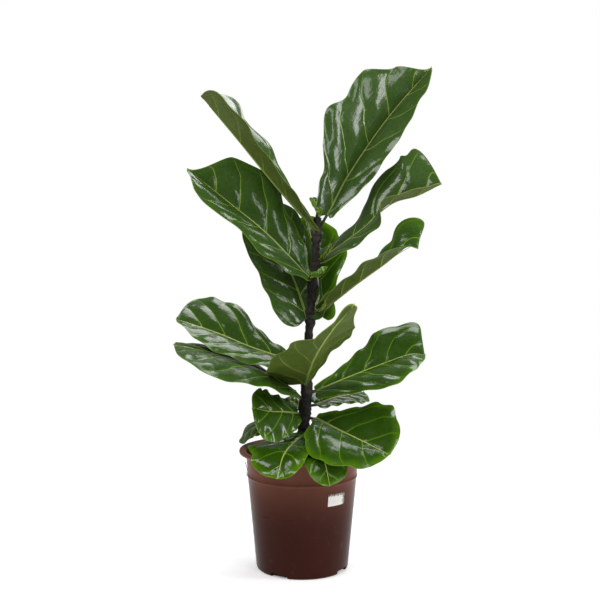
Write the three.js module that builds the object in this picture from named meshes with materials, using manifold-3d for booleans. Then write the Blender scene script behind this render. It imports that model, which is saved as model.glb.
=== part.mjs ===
// A potted fiddle leaf fig: a flanged plant pot, its soil, one woody stem with a closed bud at the top,
// and eighteen broad leaves, each grown as one piece with its stalk.
// Frame: millimetres, +Z up, origin at the centre of the pot's flat underside, +X to the right of the
// plant as it is seen from the front, +Y away from the front.
import * as THREE from "three";
import { mergeVertices } from "three/addons/utils/BufferGeometryUtils.js";
import Module from "manifold-3d";

const wasm = await Module();
wasm.setup();

// ---------------------------------------------------------------- driving dimensions, mm

const GAP = 0.3; // air left between pieces that touch

const POT = {
  height: 240,
  wall: 2.6,
  floor: 3,
  baseRadius: 93,
  baseCorner: 5,
  ridgeHeight: 186, // where the bead runs round the wall, below the collar
  ridgeRadius: 110,
  beadWidth: 2,
  collarTopRadius: 112.6,
  collarTop: 226,
  rimRadius: 127,
  rimEdge: 5.5, // height of the rim's outer edge
  sides: 48,
};
const DRAIN = {
  count: 4,
  firstAngle: -120, // degrees from +X, so that one notch is left of the front
  width: 37,
  height: 8,
  reach: 12, // how far each notch runs in under the floor
};
const SOIL = { top: 205, mound: 5, roughness: 1.6, rings: 6, sides: 24 };
const STEM = {
  axis: [
    [-1, 0, 158], [0, 0, 202], [3, 0, 278], [5, 0, 314], [9, 0, 359], [11, 0, 420], [13, 0, 460],
    [17, 0, 520], [22, 0, 581], [27, 0, 617], [27, 0, 653], [28, 0, 676], [31, 0, 704],
  ],
  footRadius: 12.5,
  lowRadius: 9.6,
  topRadius: 6.4,
  nodeSwell: 3, // how far the stem thickens where a leaf is attached
  nodeLength: 9,
  sides: 10,
  rings: 46,
};
const BUD = { radius: 5.2, length: 22, lean: 12 };
const LEAF_THICKNESS = 1;
const NARROW_BLADE = 10; // quarter of the width where a blade is narrow, for growing its edge
const LEAF_GRID = { along: 12, across: 6 };
const STALK = { radius: 2.7, sides: 6, steps: 7, run: 0.2 }; // run: share of the blade it backs
const LABEL = { middleAngle: -51.4, width: 41, height: 23.5, bottom: 145.5, thickness: 0.5 };
const ROOT_THREAD = {
  radius: 0.7,
  // angle from +X in degrees, distance from the axis, height
  route: [
    [186, 115, 214],
    [190, 112.4, 203],
    [188, 112.1, 197],
    [189, 113, 189],
    [192, 112.9, 184],
  ],
};

// The blade's margin from stalk to tip: [share of the way round the margin, how far along the midrib,
// half width of a full blade, half width of a fiddle-waisted blade], the last three as shares.
const MARGIN = [
  [0, 0, 0, 0],
  [0.06, -0.055, 0.32, 0.16],
  [0.14, -0.03, 0.62, 0.34],
  [0.22, 0.06, 0.76, 0.43],
  [0.33, 0.2, 0.8, 0.46],
  [0.45, 0.36, 0.86, 0.58],
  [0.58, 0.53, 0.95, 0.84],
  [0.7, 0.69, 1, 1],
  [0.8, 0.83, 0.92, 0.95],
  [0.89, 0.945, 0.62, 0.68],
  [0.95, 0.985, 0.34, 0.38],
  [1, 1, 0, 0],
];
const RIPPLE = { amount: 0.035, waves: 3.3, offset: 0.4 };
const FULL_BASE = 75; // half width from which a blade's base reaches back past the stalk in full
const NORMAL = { step: 0.01, ends: 0.06 }; // shares of the blade over which its facing is measured

// One entry per leaf. midrib: points from the stalk end to the tip. left and right are the sides seen
// by someone who looks from the stalk to the tip with the upper face up: half widths in mm, and how
// far each side is folded up from the midrib in degrees. roll turns the whole blade about its midrib,
// right side up. Each list is spread evenly from the base to the tip. waist: 0 full to 1 fiddle-shaped.
// node: height at which the stalk leaves the stem.
const LEAVES = [
  {
    name: "leaf_crown_right",
    node: 672,
    midrib: [[52, 5, 712], [97, 45, 796], [177, 85, 912], [269, 100, 1019]],
    left: [60, 72, 116, 138, 108, 104, 68, 4],
    right: [24, 62, 84, 80, 66, 50, 30],
    roll: [-80, -76, -65],
    foldLeft: [10, 6, 5],
    foldRight: [60, 72, 64],
    waist: 0.1,
    ripple: 0.03,
  },
  {
    name: "leaf_crown_left",
    node: 664,
    midrib: [[27, -8, 682], [-48, -15, 765], [-128, -15, 861], [-199, -10, 944]],
    left: [30, 80, 80, 80, 85],
    right: [25, 50, 72, 72, 190],
    roll: [5, 3, -5],
    foldLeft: [20, 18, 16],
    foldRight: [35, 42, 35],
    waist: 0.4,
  },
  {
    name: "leaf_upper_left",
    node: 572,
    midrib: [[12, -12, 589], [-68, -20, 672], [-142, -25, 733], [-226, -25, 800]],
    left: [30, 70, 94, 76, 58, 66, 64, 20],
    right: [20, 60, 74, 106, 102, 88, 10],
    roll: [24, 30, 30],
    foldLeft: [-6, -2, 2],
    foldRight: [46, 41, 40],
    waist: 0.1,
  },
  {
    name: "leaf_upper_left_back",
    node: 498,
    midrib: [[10, -8, 505], [-19, 25, 586], [-62, 60, 665], [-96, 85, 729]],
    left: [92, 88, 70, 60, 56],
    right: [55, 70, 75],
    roll: [20, 25, 30],
    foldLeft: [15, 5, 0],
    foldRight: [30, 25, 20],
    waist: 0,
    ripple: 0.015,
  },
  {
    name: "leaf_upper_back",
    node: 506,
    midrib: [[38, 14, 507], [35, 80, 567], [25, 130, 639], [9, 165, 712]],
    left: [72],
    right: [70, 58, 66, 72, 58, 40],
    roll: [0],
    foldLeft: [15, 10, 5],
    foldRight: [15, 10, 5],
    waist: 0.9,
  },
  {
    name: "leaf_upper_right",
    node: 612,
    midrib: [[42, 5, 626], [86, 8, 658], [128, 10, 690], [172, 12, 732], [225, 8, 748], [278, 0, 772]],
    left: [60, 64, 56, 54, 76, 100, 165],
    right: [60, 70, 66, 34, 26, 28],
    roll: [-15, -15, -15, -10, -30, -30],
    foldLeft: [8, 5, 14, 45, 42, 25],
    foldRight: [0, -8, -5, 40, 70, 60],
    waist: 0.6,
  },
  {
    name: "leaf_mid_right",
    node: 516,
    midrib: [[40, -8, 523], [104, -30, 574], [167, -50, 620], [202, -60, 647], [224, -64, 644]],
    left: [60, 50, 42, 42, 52, 130],
    right: [40, 52, 54, 58, 60],
    roll: [5, 0, -5],
    foldLeft: [32, 34, 48],
    foldRight: [30, 22, 4],
    waist: 0.4,
  },
  {
    name: "leaf_mid_left",
    node: 398,
    midrib: [[-18, 0, 418], [-99, -5, 446], [-169, -5, 475], [-252, -5, 503]],
    left: [60, 85, 85, 80, 58, 26],
    right: [24, 42, 64, 86, 98, 108, 140],
    roll: [26, 26, 22],
    foldLeft: [4],
    foldRight: [18, 18, 8],
    waist: 0.2,
  },
  {
    name: "leaf_mid_left_low",
    node: 333,
    midrib: [[-14, -15, 361], [-87, -40, 409], [-164, -60, 439], [-248, -75, 458]],
    left: [45, 74, 96, 112, 130],
    right: [50, 75, 75],
    roll: [28, 28, 18],
    foldLeft: [2, 2, 5],
    foldRight: [-38, -26, -12],
    waist: 0.1,
  },
  {
    name: "leaf_front",
    node: 366,
    midrib: [[6, -18, 374], [13, -85, 410], [27, -160, 452], [53, -215, 499], [91, -245, 548]],
    left: [46, 74, 80, 60, 34],
    right: [92, 104, 92, 56, 18, 8, 20],
    roll: [0],
    foldLeft: [45, 40, 30, 25, 25],
    foldRight: [10, 0, 20, 35, 45],
    waist: 0,
  },
  {
    name: "leaf_low_right",
    node: 354,
    midrib: [[30, 0, 359], [97, 15, 385], [168, 25, 411], [219, 29, 428], [251, 30, 427]],
    left: [20, 30, 44, 58, 76, 94, 150],
    right: [60, 80, 98, 96, 84, 76],
    roll: [-18, -18, -15],
    foldLeft: [30, 30, 22],
    foldRight: [0, 0, 4],
    waist: 0.2,
  },
  {
    name: "leaf_low_right_back",
    node: 326,
    midrib: [[28, 15, 328], [68, 50, 337], [100, 80, 338], [129, 105, 339]],
    left: [50],
    right: [45],
    roll: [-20],
    foldLeft: [10],
    foldRight: [10, 5, 0],
    waist: 0.3,
  },
  {
    name: "leaf_drooping_right",
    node: 304,
    midrib: [[28, -15, 305], [74, -60, 289], [117, -95, 274], [166, -125, 254]],
    left: [20, 46, 76, 104, 98, 88, 84],
    right: [20, 84, 116, 98, 72, 56],
    roll: [-22, -22, -28],
    foldLeft: [25, 15, 5],
    foldRight: [10, 5, 0],
    waist: 0,
  },
  {
    name: "leaf_crinkled_left",
    node: 312,
    midrib: [[-8, -5, 313], [-34, -35, 321], [-63, -60, 326], [-97, -78, 336]],
    left: [30, 54, 62, 68, 84],
    right: [40, 48, 54, 58],
    roll: [30, 30, 30],
    foldLeft: [-30, -30, -25],
    foldRight: [20],
    waist: 0,
    ripple: 0.03,
  },
  {
    name: "leaf_small_left_back",
    node: 320,
    midrib: [[-2, 10, 319], [-17, 25, 330], [-31, 40, 332], [-44, 50, 328]],
    left: [22],
    right: [22],
    roll: [20],
    foldLeft: [0],
    foldRight: [0],
    waist: 0.5,
  },
  {
    name: "leaf_drooping_front",
    node: 274,
    midrib: [[6, -20, 275], [-22, -75, 262], [-37, -126, 250], [-47, -158, 216]],
    left: [50, 60, 52, 46, 46],
    right: [24, 50, 80, 62, 58],
    roll: [8, 5, 0],
    foldLeft: [12, 8, 0],
    foldRight: [0],
    waist: 0,
  },
  {
    name: "leaf_hanging_front",
    node: 255,
    midrib: [[23, -40, 254], [34, -95, 249], [42, -129, 243], [52, -139, 198]],
    left: [48],
    right: [48, 48, 40, 30],
    roll: [0],
    foldLeft: [0],
    foldRight: [0],
    waist: 0,
  },
  {
    name: "leaf_rim_left",
    node: 284,
    midrib: [[-4, 10, 288], [-62, 30, 286], [-103, 40, 274], [-128, 35, 244]],
    left: [40],
    right: [40],
    roll: [15],
    foldLeft: [0, -10, -10],
    foldRight: [0],
    waist: 0.3,
  },
];

// ---------------------------------------------------------------- finishes

const FINISH = {
  pot: { color: 0x3e241d, roughness: 0.38 },
  soil: { color: 0x2b1d15, roughness: 0.95 },
  bark: { color: 0x2a2220, roughness: 0.7 },
  bud: { color: 0x5a3325, roughness: 0.6 },
  leaf: { color: 0x24521c, roughness: 0.32 },
  label: { color: 0xd2cfca, roughness: 0.55 },
  root: { color: 0x4c3128, roughness: 0.8 },
};

// ---------------------------------------------------------------- small maths

const degrees = (angle) => THREE.MathUtils.degToRad(angle);
const point = (values) => new THREE.Vector3(...values);

// A list of values spread evenly over 0..1, read with an eased step between neighbours.
function spread(values, share) {
  if (values.length === 1) return values[0];
  const place = THREE.MathUtils.clamp(share, 0, 1) * (values.length - 1);
  const index = Math.min(Math.floor(place), values.length - 2);
  const ease = THREE.MathUtils.smoothstep(place - index, 0, 1);
  return THREE.MathUtils.lerp(values[index], values[index + 1], ease);
}

// Slopes of a curve through unevenly spaced points.
function slopes(xs, ys) {
  const last = xs.length - 1;
  return xs.map((x, i) => {
    if (i === 0) return (ys[1] - ys[0]) / (xs[1] - xs[0]);
    if (i === last) return (ys[last] - ys[last - 1]) / (xs[last] - xs[last - 1]);
    const before = x - xs[i - 1];
    const after = xs[i + 1] - x;
    const rise = before ** 2 * ys[i + 1] + (after ** 2 - before ** 2) * ys[i] - after ** 2 * ys[i - 1];
    return rise / (before * after * (before + after));
  });
}

// A smooth curve through points, read at x.
function smoothThrough(xs, ys) {
  const slope = slopes(xs, ys);
  return (x) => {
    let i = xs.length - 2;
    while (i > 0 && xs[i] > x) i -= 1;
    const step = xs[i + 1] - xs[i];
    const u = (x - xs[i]) / step;
    const u2 = u * u;
    const u3 = u2 * u;
    return (
      (2 * u3 - 3 * u2 + 1) * ys[i] +
      (u3 - 2 * u2 + u) * step * slope[i] +
      (3 * u2 - 2 * u3) * ys[i + 1] +
      (u3 - u2) * step * slope[i + 1]
    );
  };
}

// ---------------------------------------------------------------- solids and meshes

// A closed geometry as a solid: shared corners merged and collapsed triangles left out.
function solid(geometry) {
  const bare = geometry.clone();
  bare.deleteAttribute("normal");
  bare.deleteAttribute("uv");
  const merged = mergeVertices(bare, 1e-3);
  const index = merged.index.array;
  const kept = [];
  for (let i = 0; i < index.length; i += 3) {
    const [a, b, c] = [index[i], index[i + 1], index[i + 2]];
    if (a !== b && b !== c && c !== a) kept.push(a, b, c);
  }
  return new wasm.Manifold(
    new wasm.Mesh({
      numProp: 3,
      vertProperties: merged.attributes.position.array,
      triVerts: new Uint32Array(kept),
    }),
  );
}

// The largest piece of a solid that a cut may have left with loose bits.
function largest(made) {
  const pieces = made.decompose();
  return pieces.reduce((best, piece) => (piece.volume() > best.volume() ? piece : best));
}

function meshOf(name, made, finish) {
  const data = made.getMesh();
  const geometry = new THREE.BufferGeometry();
  const places = new Float32Array(data.vertProperties);
  geometry.setAttribute("position", new THREE.BufferAttribute(places, 3));
  geometry.setIndex(new THREE.BufferAttribute(new Uint32Array(data.triVerts), 1));
  geometry.computeVertexNormals();
  const material = new THREE.MeshStandardMaterial({ metalness: 0, ...finish });
  const mesh = new THREE.Mesh(geometry, material);
  mesh.name = name;
  return mesh;
}

// Moves every vertex of a geometry by a function of its place.
function reshape(geometry, move) {
  const places = geometry.attributes.position;
  for (let i = 0; i < places.count; i += 1) {
    const moved = move(new THREE.Vector3().fromBufferAttribute(places, i));
    places.setXYZ(i, moved.x, moved.y, moved.z);
  }
  return geometry;
}

// A profile of [radius, height] turned about the Z axis.
function turned(profile, sides) {
  const outline = profile.map(([radius, height]) => new THREE.Vector2(radius, height));
  return new THREE.LatheGeometry(outline, sides).rotateX(Math.PI / 2);
}

// A round rod along a curve.
function rod(curve, radius, sides, steps) {
  const section = new THREE.Shape();
  for (let i = 0; i < sides; i += 1) {
    const angle = (2 * Math.PI * i) / sides;
    const [x, y] = [radius * Math.cos(angle), radius * Math.sin(angle)];
    if (i === 0) section.moveTo(x, y);
    else section.lineTo(x, y);
  }
  section.closePath();
  return new THREE.ExtrudeGeometry(section, { steps, bevelEnabled: false, extrudePath: curve });
}

// ---------------------------------------------------------------- pot, soil and label

const wallSlope = (POT.ridgeRadius - POT.baseRadius) / (POT.ridgeHeight - POT.baseCorner);
const wallRadius = (height) => POT.baseRadius + (height - POT.baseCorner) * wallSlope;

// The collar is the upper part of the wall, from just above the bead to the rim.
const COLLAR_START = 5.5;
const collarFoot = POT.ridgeHeight + COLLAR_START;
const collarRadius = (height) =>
  THREE.MathUtils.mapLinear(height, collarFoot, POT.collarTop, POT.ridgeRadius + 0.6, POT.collarTopRadius);

function potSolid() {
  const { baseRadius, baseCorner, wall, height, rimRadius, collarTop, collarTopRadius } = POT;
  const bead = POT.ridgeHeight;
  const outside = [
    [0, 0],
    [baseRadius - baseCorner, 0],
    [baseRadius - baseCorner * 0.3, baseCorner * 0.3],
    [baseRadius, baseCorner],
    [POT.ridgeRadius, bead],
    [POT.ridgeRadius + POT.beadWidth, bead + 1.5],
    [POT.ridgeRadius + POT.beadWidth, bead + 3.5],
    [collarRadius(bead + COLLAR_START), bead + COLLAR_START],
    [collarTopRadius, collarTop],
    [collarTopRadius + 3, collarTop + 5],
    [collarTopRadius + 8, collarTop + 7.5],
    [rimRadius - 2, height - POT.rimEdge - 2],
    [rimRadius, height - POT.rimEdge],
    [rimRadius, height - 2],
    [rimRadius - 1.6, height],
  ];
  const inside = [
    [collarTopRadius + 3, height],
    [collarTopRadius - wall + 1.4, height - 3],
    [collarTopRadius - wall, collarTop],
    [collarRadius(bead + COLLAR_START) - wall, bead + COLLAR_START],
    [POT.ridgeRadius - wall, bead],
    [wallRadius(POT.floor + baseCorner) - wall, POT.floor + baseCorner],
    [baseRadius - wall - baseCorner * 0.6, POT.floor],
    [0, POT.floor],
  ];
  let pot = solid(turned([...outside, ...inside], POT.sides));
  for (let i = 0; i < DRAIN.count; i += 1) {
    const angle = degrees(DRAIN.firstAngle + (360 * i) / DRAIN.count);
    const notch = new THREE.BoxGeometry(2 * DRAIN.reach, DRAIN.width, 2 * DRAIN.height);
    notch.translate(baseRadius, 0, 0);
    notch.rotateZ(angle);
    pot = pot.subtract(solid(notch));
  }
  return pot;
}

// Crumbly unevenness of the soil's surface.
function crumble(x, y) {
  const waves = Math.sin(x * 0.11 + 1.3) * Math.cos(y * 0.13) + Math.sin(x * 0.31 - y * 0.27 + 0.6);
  return 0.5 * SOIL.roughness * waves;
}

function soilSolid(stem) {
  const innerWall = (height) => wallRadius(height) - POT.wall - GAP;
  const floor = POT.floor + GAP;
  const rim = collarRadius(SOIL.top) - POT.wall - GAP;
  const profile = [
    [0, floor],
    [innerWall(0) - POT.baseCorner * 0.6, floor],
    [innerWall(floor + POT.baseCorner), floor + POT.baseCorner],
    [innerWall(POT.ridgeHeight), POT.ridgeHeight],
    [collarRadius(collarFoot) - POT.wall - GAP, collarFoot],
    [rim, SOIL.top],
  ];
  for (let ring = SOIL.rings - 1; ring >= 0; ring -= 1) {
    const share = ring / SOIL.rings;
    profile.push([rim * share, SOIL.top + SOIL.mound * (1 - share ** 2)]);
  }
  const body = reshape(turned(profile, SOIL.sides), (p) => {
    const reach = Math.hypot(p.x, p.y);
    if (p.z > SOIL.top - 1 && reach < rim - 1) p.z += crumble(p.x, p.y);
    return p;
  });
  return largest(solid(body).subtract(stem));
}

function labelSolid() {
  const panel = new THREE.BoxGeometry(1, 1, 1, 6, 1, 1);
  return solid(
    reshape(panel, (p) => {
      const height = LABEL.bottom + (p.z + 0.5) * LABEL.height;
      const radius = wallRadius(height) + GAP + (p.y + 0.5) * LABEL.thickness;
      const angle = degrees(LABEL.middleAngle) - (p.x * LABEL.width) / radius;
      return new THREE.Vector3(radius * Math.cos(angle), radius * Math.sin(angle), height);
    }),
  );
}

function rootThreadSolid() {
  const route = ROOT_THREAD.route.map(([angle, reach, height]) => {
    const turn = degrees(angle);
    return new THREE.Vector3(reach * Math.cos(turn), reach * Math.sin(turn), height);
  });
  const curve = new THREE.CatmullRomCurve3(route);
  return solid(rod(curve, ROOT_THREAD.radius, 6, 16));
}

// ---------------------------------------------------------------- stem and bud

const stemAxis = new THREE.CatmullRomCurve3(STEM.axis.map(point), false, "catmullrom", 0.5);

// The point of the stem's axis at a height, found by halving.
function stemAt(height) {
  let [low, high] = [0, 1];
  for (let i = 0; i < 30; i += 1) {
    const middle = (low + high) / 2;
    if (stemAxis.getPointAt(middle).z < height) low = middle;
    else high = middle;
  }
  return stemAxis.getPointAt(low);
}

function stemRadius(height) {
  const share = (height - SOIL.top) / (STEM.axis.at(-1)[2] - SOIL.top);
  const taper = THREE.MathUtils.lerp(STEM.lowRadius, STEM.topRadius, THREE.MathUtils.clamp(share, 0, 1));
  const foot = (STEM.footRadius - STEM.lowRadius) * Math.exp(-Math.max(height - SOIL.top, 0) / 25);
  const swell = LEAVES.reduce(
    (sum, leaf) => Math.max(sum, Math.exp(-(((height - leaf.node) / STEM.nodeLength) ** 2))),
    0,
  );
  return taper + foot + STEM.nodeSwell * swell;
}

// The stem, grown all round by `grow` when it cuts its own hollow in the soil and the stalks' ends.
function stemSolid(grow) {
  const shaft = new THREE.CylinderGeometry(1, 1, 1, STEM.sides, STEM.rings);
  return solid(
    reshape(shaft, (p) => {
      const share = p.y + 0.5;
      const centre = stemAxis.getPointAt(share);
      const end = share < 1e-6 ? -grow : share > 1 - 1e-6 ? grow : 0;
      const radius = stemRadius(centre.z) + grow;
      return new THREE.Vector3(centre.x + radius * p.x, centre.y - radius * p.z, centre.z + end);
    }),
  );
}

function budSolid(stemHollow) {
  const { radius, length } = BUD;
  const scales = [
    [0, 0],
    [radius * 0.75, 0],
    [radius, length * 0.22],
    [radius * 0.8, length * 0.5],
    [radius * 0.35, length * 0.82],
    [0, length],
  ];
  const bud = turned(scales, 10);
  bud.rotateY(degrees(BUD.lean) * 0.5);
  const top = stemAxis.getPointAt(1);
  bud.translate(top.x, top.y, top.z);
  return largest(solid(bud).subtract(stemHollow));
}

// ---------------------------------------------------------------- leaves

const marginShares = MARGIN.map((row) => row[0]);
const alongMargin = smoothThrough(marginShares, MARGIN.map((row) => row[1]));
const fullMargin = smoothThrough(marginShares, MARGIN.map((row) => row[2]));
const waistedMargin = smoothThrough(marginShares, MARGIN.map((row) => row[3]));

class Blade {
  constructor(leaf) {
    this.leaf = leaf;
    this.curve = new THREE.CatmullRomCurve3(leaf.midrib.map(point), false, "catmullrom", 0.5);
    this.length = this.curve.getLength();
    this.stations = 60;
    this.rights = this.carryRight();
  }

  // The blade's level right-hand direction, carried along the midrib without twisting.
  carryRight() {
    const rights = [];
    let right = new THREE.Vector3().crossVectors(this.curve.getTangentAt(0), new THREE.Vector3(0, 0, 1));
    for (let i = 0; i <= this.stations; i += 1) {
      const tangent = this.curve.getTangentAt(i / this.stations);
      right = right.clone().addScaledVector(tangent, -tangent.dot(right)).normalize();
      rights.push(right);
    }
    return rights;
  }

  // The midrib's place and directions at a share of its length.
  frameAt(share) {
    const u = THREE.MathUtils.clamp(share, 0, 1);
    const tangent = this.curve.getTangentAt(u);
    const centre = this.curve.getPointAt(u).addScaledVector(tangent, Math.min(share, 0) * this.length);
    const right = this.rights[Math.round(u * this.stations)].clone();
    const up = new THREE.Vector3().crossVectors(right, tangent).normalize();
    const roll = degrees(spread(this.leaf.roll, u));
    return {
      centre,
      right: right.clone().multiplyScalar(Math.cos(roll)).addScaledVector(up, Math.sin(roll)),
      up: up.clone().multiplyScalar(Math.cos(roll)).addScaledVector(right, -Math.sin(roll)),
    };
  }

  // A point of the blade's middle surface: round is the share of the way from stalk to tip, and side
  // runs from -1, the left margin, to 1, the right margin.
  middle(round, side) {
    const { leaf } = this;
    const reach = Math.abs(side);
    const rightward = side > 0;
    const midribShare = round ** 1.9;
    const base = THREE.MathUtils.clamp((rightward ? leaf.right : leaf.left)[0] / FULL_BASE, 0, 1);
    const marginShare = alongMargin(round) * (alongMargin(round) < 0 ? base : 1);
    const along = THREE.MathUtils.lerp(midribShare, marginShare, reach ** 1.15);
    const wave = RIPPLE.waves * along + (leaf.phase ?? 0) + (rightward ? RIPPLE.offset : 0);
    const ripple = 1 + (leaf.ripple ?? RIPPLE.amount) * Math.sin(2 * Math.PI * wave);
    const halfWidth = spread(rightward ? leaf.right : leaf.left, along) * ripple;
    const profile = THREE.MathUtils.lerp(fullMargin(round), waistedMargin(round), leaf.waist);
    const across = profile * reach * halfWidth;
    const fold = degrees(spread(rightward ? leaf.foldRight : leaf.foldLeft, along));
    const frame = this.frameAt(along);
    const outward = rightward ? 1 : -1;
    return frame.centre
      .addScaledVector(frame.right, outward * across * Math.cos(fold))
      .addScaledVector(frame.up, across * Math.sin(fold));
  }

  // The direction out of the upper face. Near the blade's two ends it is taken a little way in, and at
  // the ends themselves it is that of the midrib.
  upward(round, side) {
    const { step, ends } = NORMAL;
    const u = THREE.MathUtils.clamp(round, ends, 1 - ends);
    const s = round > 0 && round < 1 ? THREE.MathUtils.clamp(side, step - 1, 1 - step) : 0;
    const onward = this.middle(u + step, s).sub(this.middle(u - step, s));
    const rightward = this.middle(u, s + step).sub(this.middle(u, s - step));
    return rightward.cross(onward).normalize();
  }

  // A point at a distance off the middle surface.
  at(round, side, lift) {
    return this.middle(round, side).addScaledVector(this.upward(round, side), lift);
  }
}

// A thin closed sheet over a grid. at(share along, share across, layer) gives its points, with layer
// -0.5 on the lower face and 0.5 on the upper one. Both faces are cut along the same diagonals.
function thinSheet(at, along, across) {
  const places = [];
  for (const layer of [-0.5, 0.5]) {
    for (let i = 0; i <= along; i += 1) {
      for (let j = 0; j <= across; j += 1) places.push(...at(i / along, j / across, layer));
    }
  }
  const lower = (i, j) => i * (across + 1) + j;
  const upper = (i, j) => lower(i, j) + (along + 1) * (across + 1);
  const index = [];
  const wall = (...ends) => {
    const [a, b, c, d] = [lower(...ends[0]), lower(...ends[1]), upper(...ends[1]), upper(...ends[0])];
    index.push(a, b, c, a, c, d);
  };
  for (let i = 0; i < along; i += 1) {
    for (let j = 0; j < across; j += 1) {
      const cell = [[i, j], [i + 1, j], [i + 1, j + 1], [i, j + 1]];
      const [a, b, c, d] = cell.map((corner) => lower(...corner));
      const [e, f, g, h] = cell.map((corner) => upper(...corner));
      index.push(a, b, c, a, c, d, e, g, f, e, h, g);
    }
    wall([i + 1, 0], [i, 0]);
    wall([i, across], [i + 1, across]);
  }
  for (let j = 0; j < across; j += 1) {
    wall([0, j], [0, j + 1]);
    wall([along, j + 1], [along, j]);
  }
  const geometry = new THREE.BufferGeometry();
  geometry.setAttribute("position", new THREE.BufferAttribute(new Float32Array(places), 3));
  geometry.setIndex(index);
  return geometry;
}

function bladeSolid(blade, grow) {
  const thickness = LEAF_THICKNESS + 2 * grow;
  const wider = 1 + grow / NARROW_BLADE / 2;
  const place = (along, across, layer) => blade.at(along, wider * (2 * across - 1), thickness * layer);
  return solid(thinSheet(place, LEAF_GRID.along, LEAF_GRID.across));
}

// The stalk leaves the stem's axis, meets the blade and backs the first stretch of the midrib.
function stalkSolid(blade, grow) {
  const under = STALK.radius * 0.6;
  const backing = [0.02, STALK.run / 2, STALK.run].map((share) => {
    const frame = blade.frameAt(share);
    return frame.centre.addScaledVector(frame.up, -under);
  });
  const curve = new THREE.CatmullRomCurve3([stemAt(blade.leaf.node), ...backing]);
  return solid(rod(curve, STALK.radius + grow, STALK.sides, STALK.steps));
}

// A whole leaf. Grown all round by `grow`, it is the room that its neighbours leave free.
function leafSolid(blade, grow) {
  return bladeSolid(blade, grow).add(stalkSolid(blade, grow));
}

// ---------------------------------------------------------------- the plant

const plant = new THREE.Group();
const stemHollow = stemSolid(GAP);
const pot = potSolid();

plant.add(meshOf("pot", pot, FINISH.pot));
plant.add(meshOf("soil", soilSolid(stemHollow), FINISH.soil));
plant.add(meshOf("stem", stemSolid(0), FINISH.bark));
plant.add(meshOf("bud", budSolid(stemHollow), FINISH.bud));
plant.add(meshOf("label", labelSolid(), FINISH.label));
plant.add(meshOf("root_thread", rootThreadSolid(), FINISH.root));

// Where two leaves would touch, the one that is placed later is notched round the earlier one.
const taken = [stemHollow];
for (const leaf of LEAVES) {
  const blade = new Blade(leaf);
  const made = taken.reduce((left, room) => left.subtract(room), leafSolid(blade, 0));
  plant.add(meshOf(leaf.name, largest(made), FINISH.leaf));
  taken.push(leafSolid(blade, GAP));
}

export default plant;
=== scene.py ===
"""A young fiddle leaf fig in a moulded brown plant pot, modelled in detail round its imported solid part.

Every length in the tables is in millimetres and every angle in degrees, in the frame of the solid part:
+Z up, the origin at the centre of the pot's underside. Lengths become metres when they reach a mesh.
"""
import logging
import math
from collections.abc import Callable, Sequence
from dataclasses import dataclass, field
from enum import Enum
from functools import partial
from typing import Any

import bpy
import numpy as np
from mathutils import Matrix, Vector


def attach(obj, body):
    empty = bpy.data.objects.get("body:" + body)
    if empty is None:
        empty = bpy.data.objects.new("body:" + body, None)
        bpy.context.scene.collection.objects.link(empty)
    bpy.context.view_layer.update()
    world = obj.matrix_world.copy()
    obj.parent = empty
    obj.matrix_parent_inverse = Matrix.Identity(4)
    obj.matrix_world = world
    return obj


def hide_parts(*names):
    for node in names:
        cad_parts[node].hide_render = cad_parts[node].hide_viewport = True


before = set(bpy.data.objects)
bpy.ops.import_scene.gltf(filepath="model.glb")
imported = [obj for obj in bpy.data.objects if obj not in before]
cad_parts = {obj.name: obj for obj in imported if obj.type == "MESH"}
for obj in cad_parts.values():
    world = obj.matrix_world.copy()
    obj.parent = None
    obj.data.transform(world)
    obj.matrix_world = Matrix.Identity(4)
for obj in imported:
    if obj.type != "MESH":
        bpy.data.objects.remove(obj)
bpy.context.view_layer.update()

MM = 0.001
FULL_TURN = 2 * math.pi
UP = np.array([0.0, 0.0, 1.0])
SIDEWAYS = np.array([1.0, 0.0, 0.0])

log = logging.getLogger("fiddle_leaf_fig")

Numbers = tuple[float, ...]
Point = tuple[float, float, float]
Colour = tuple[float, float, float, float]


class Slot(Enum):
    """The material slots of the part's record."""

    POT = "pot"
    SOIL = "soil"
    BARK = "bark"
    BUD = "bud_sheath"
    LEAF = "leaf"
    LABEL = "paper_label"
    ROOT = "fine_root"


def tint(red: int, green: int, blue: int) -> Colour:
    """Turns a display colour of 0 to 255 into a linear, opaque one by the standard display curve."""
    linear = [((c / 255 + 0.055) / 1.055) ** 2.4 if c > 10 else c / 255 / 12.92 for c in (red, green, blue)]
    return (linear[0], linear[1], linear[2], 1.0)


# ---------------------------------------------------------------- curves and unevenness


def unit(vectors: np.ndarray) -> np.ndarray:
    """Scales vectors to length one."""
    return vectors / np.maximum(np.linalg.norm(vectors, axis=-1, keepdims=True), 1e-12)


def dot(a: np.ndarray, b: np.ndarray) -> np.ndarray:
    """Dot products of two lists of vectors, as a column."""
    return np.sum(a * b, axis=-1, keepdims=True)


def ease(values: np.ndarray, low: float, high: float) -> np.ndarray:
    """A smooth step from 0 at low to 1 at high."""
    share = np.clip((np.asarray(values, float) - low) / (high - low), 0, 1)
    return share * share * (3 - 2 * share)


def spread(values: Numbers, share: np.ndarray) -> np.ndarray:
    """Reads a list that is spread evenly over 0 to 1, with an eased step between neighbours.

    Args:
        values: the listed values, from base to tip.
        share: where to read them.

    Returns:
        One value for each share.
    """
    listed = np.array(values if len(values) > 1 else values * 2, float)
    place = np.clip(share, 0, 1) * (len(listed) - 1)
    index = np.minimum(place.astype(int), len(listed) - 2)
    step = ease(place - index, 0, 1)
    return listed[index] * (1 - step) + listed[index + 1] * step


def resampled(rows: np.ndarray, places: np.ndarray, wanted: np.ndarray) -> np.ndarray:
    """Reads rows that belong to rising places at the wanted ones."""
    return np.stack([np.interp(wanted, places, column) for column in rows.T], axis=-1)


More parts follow.
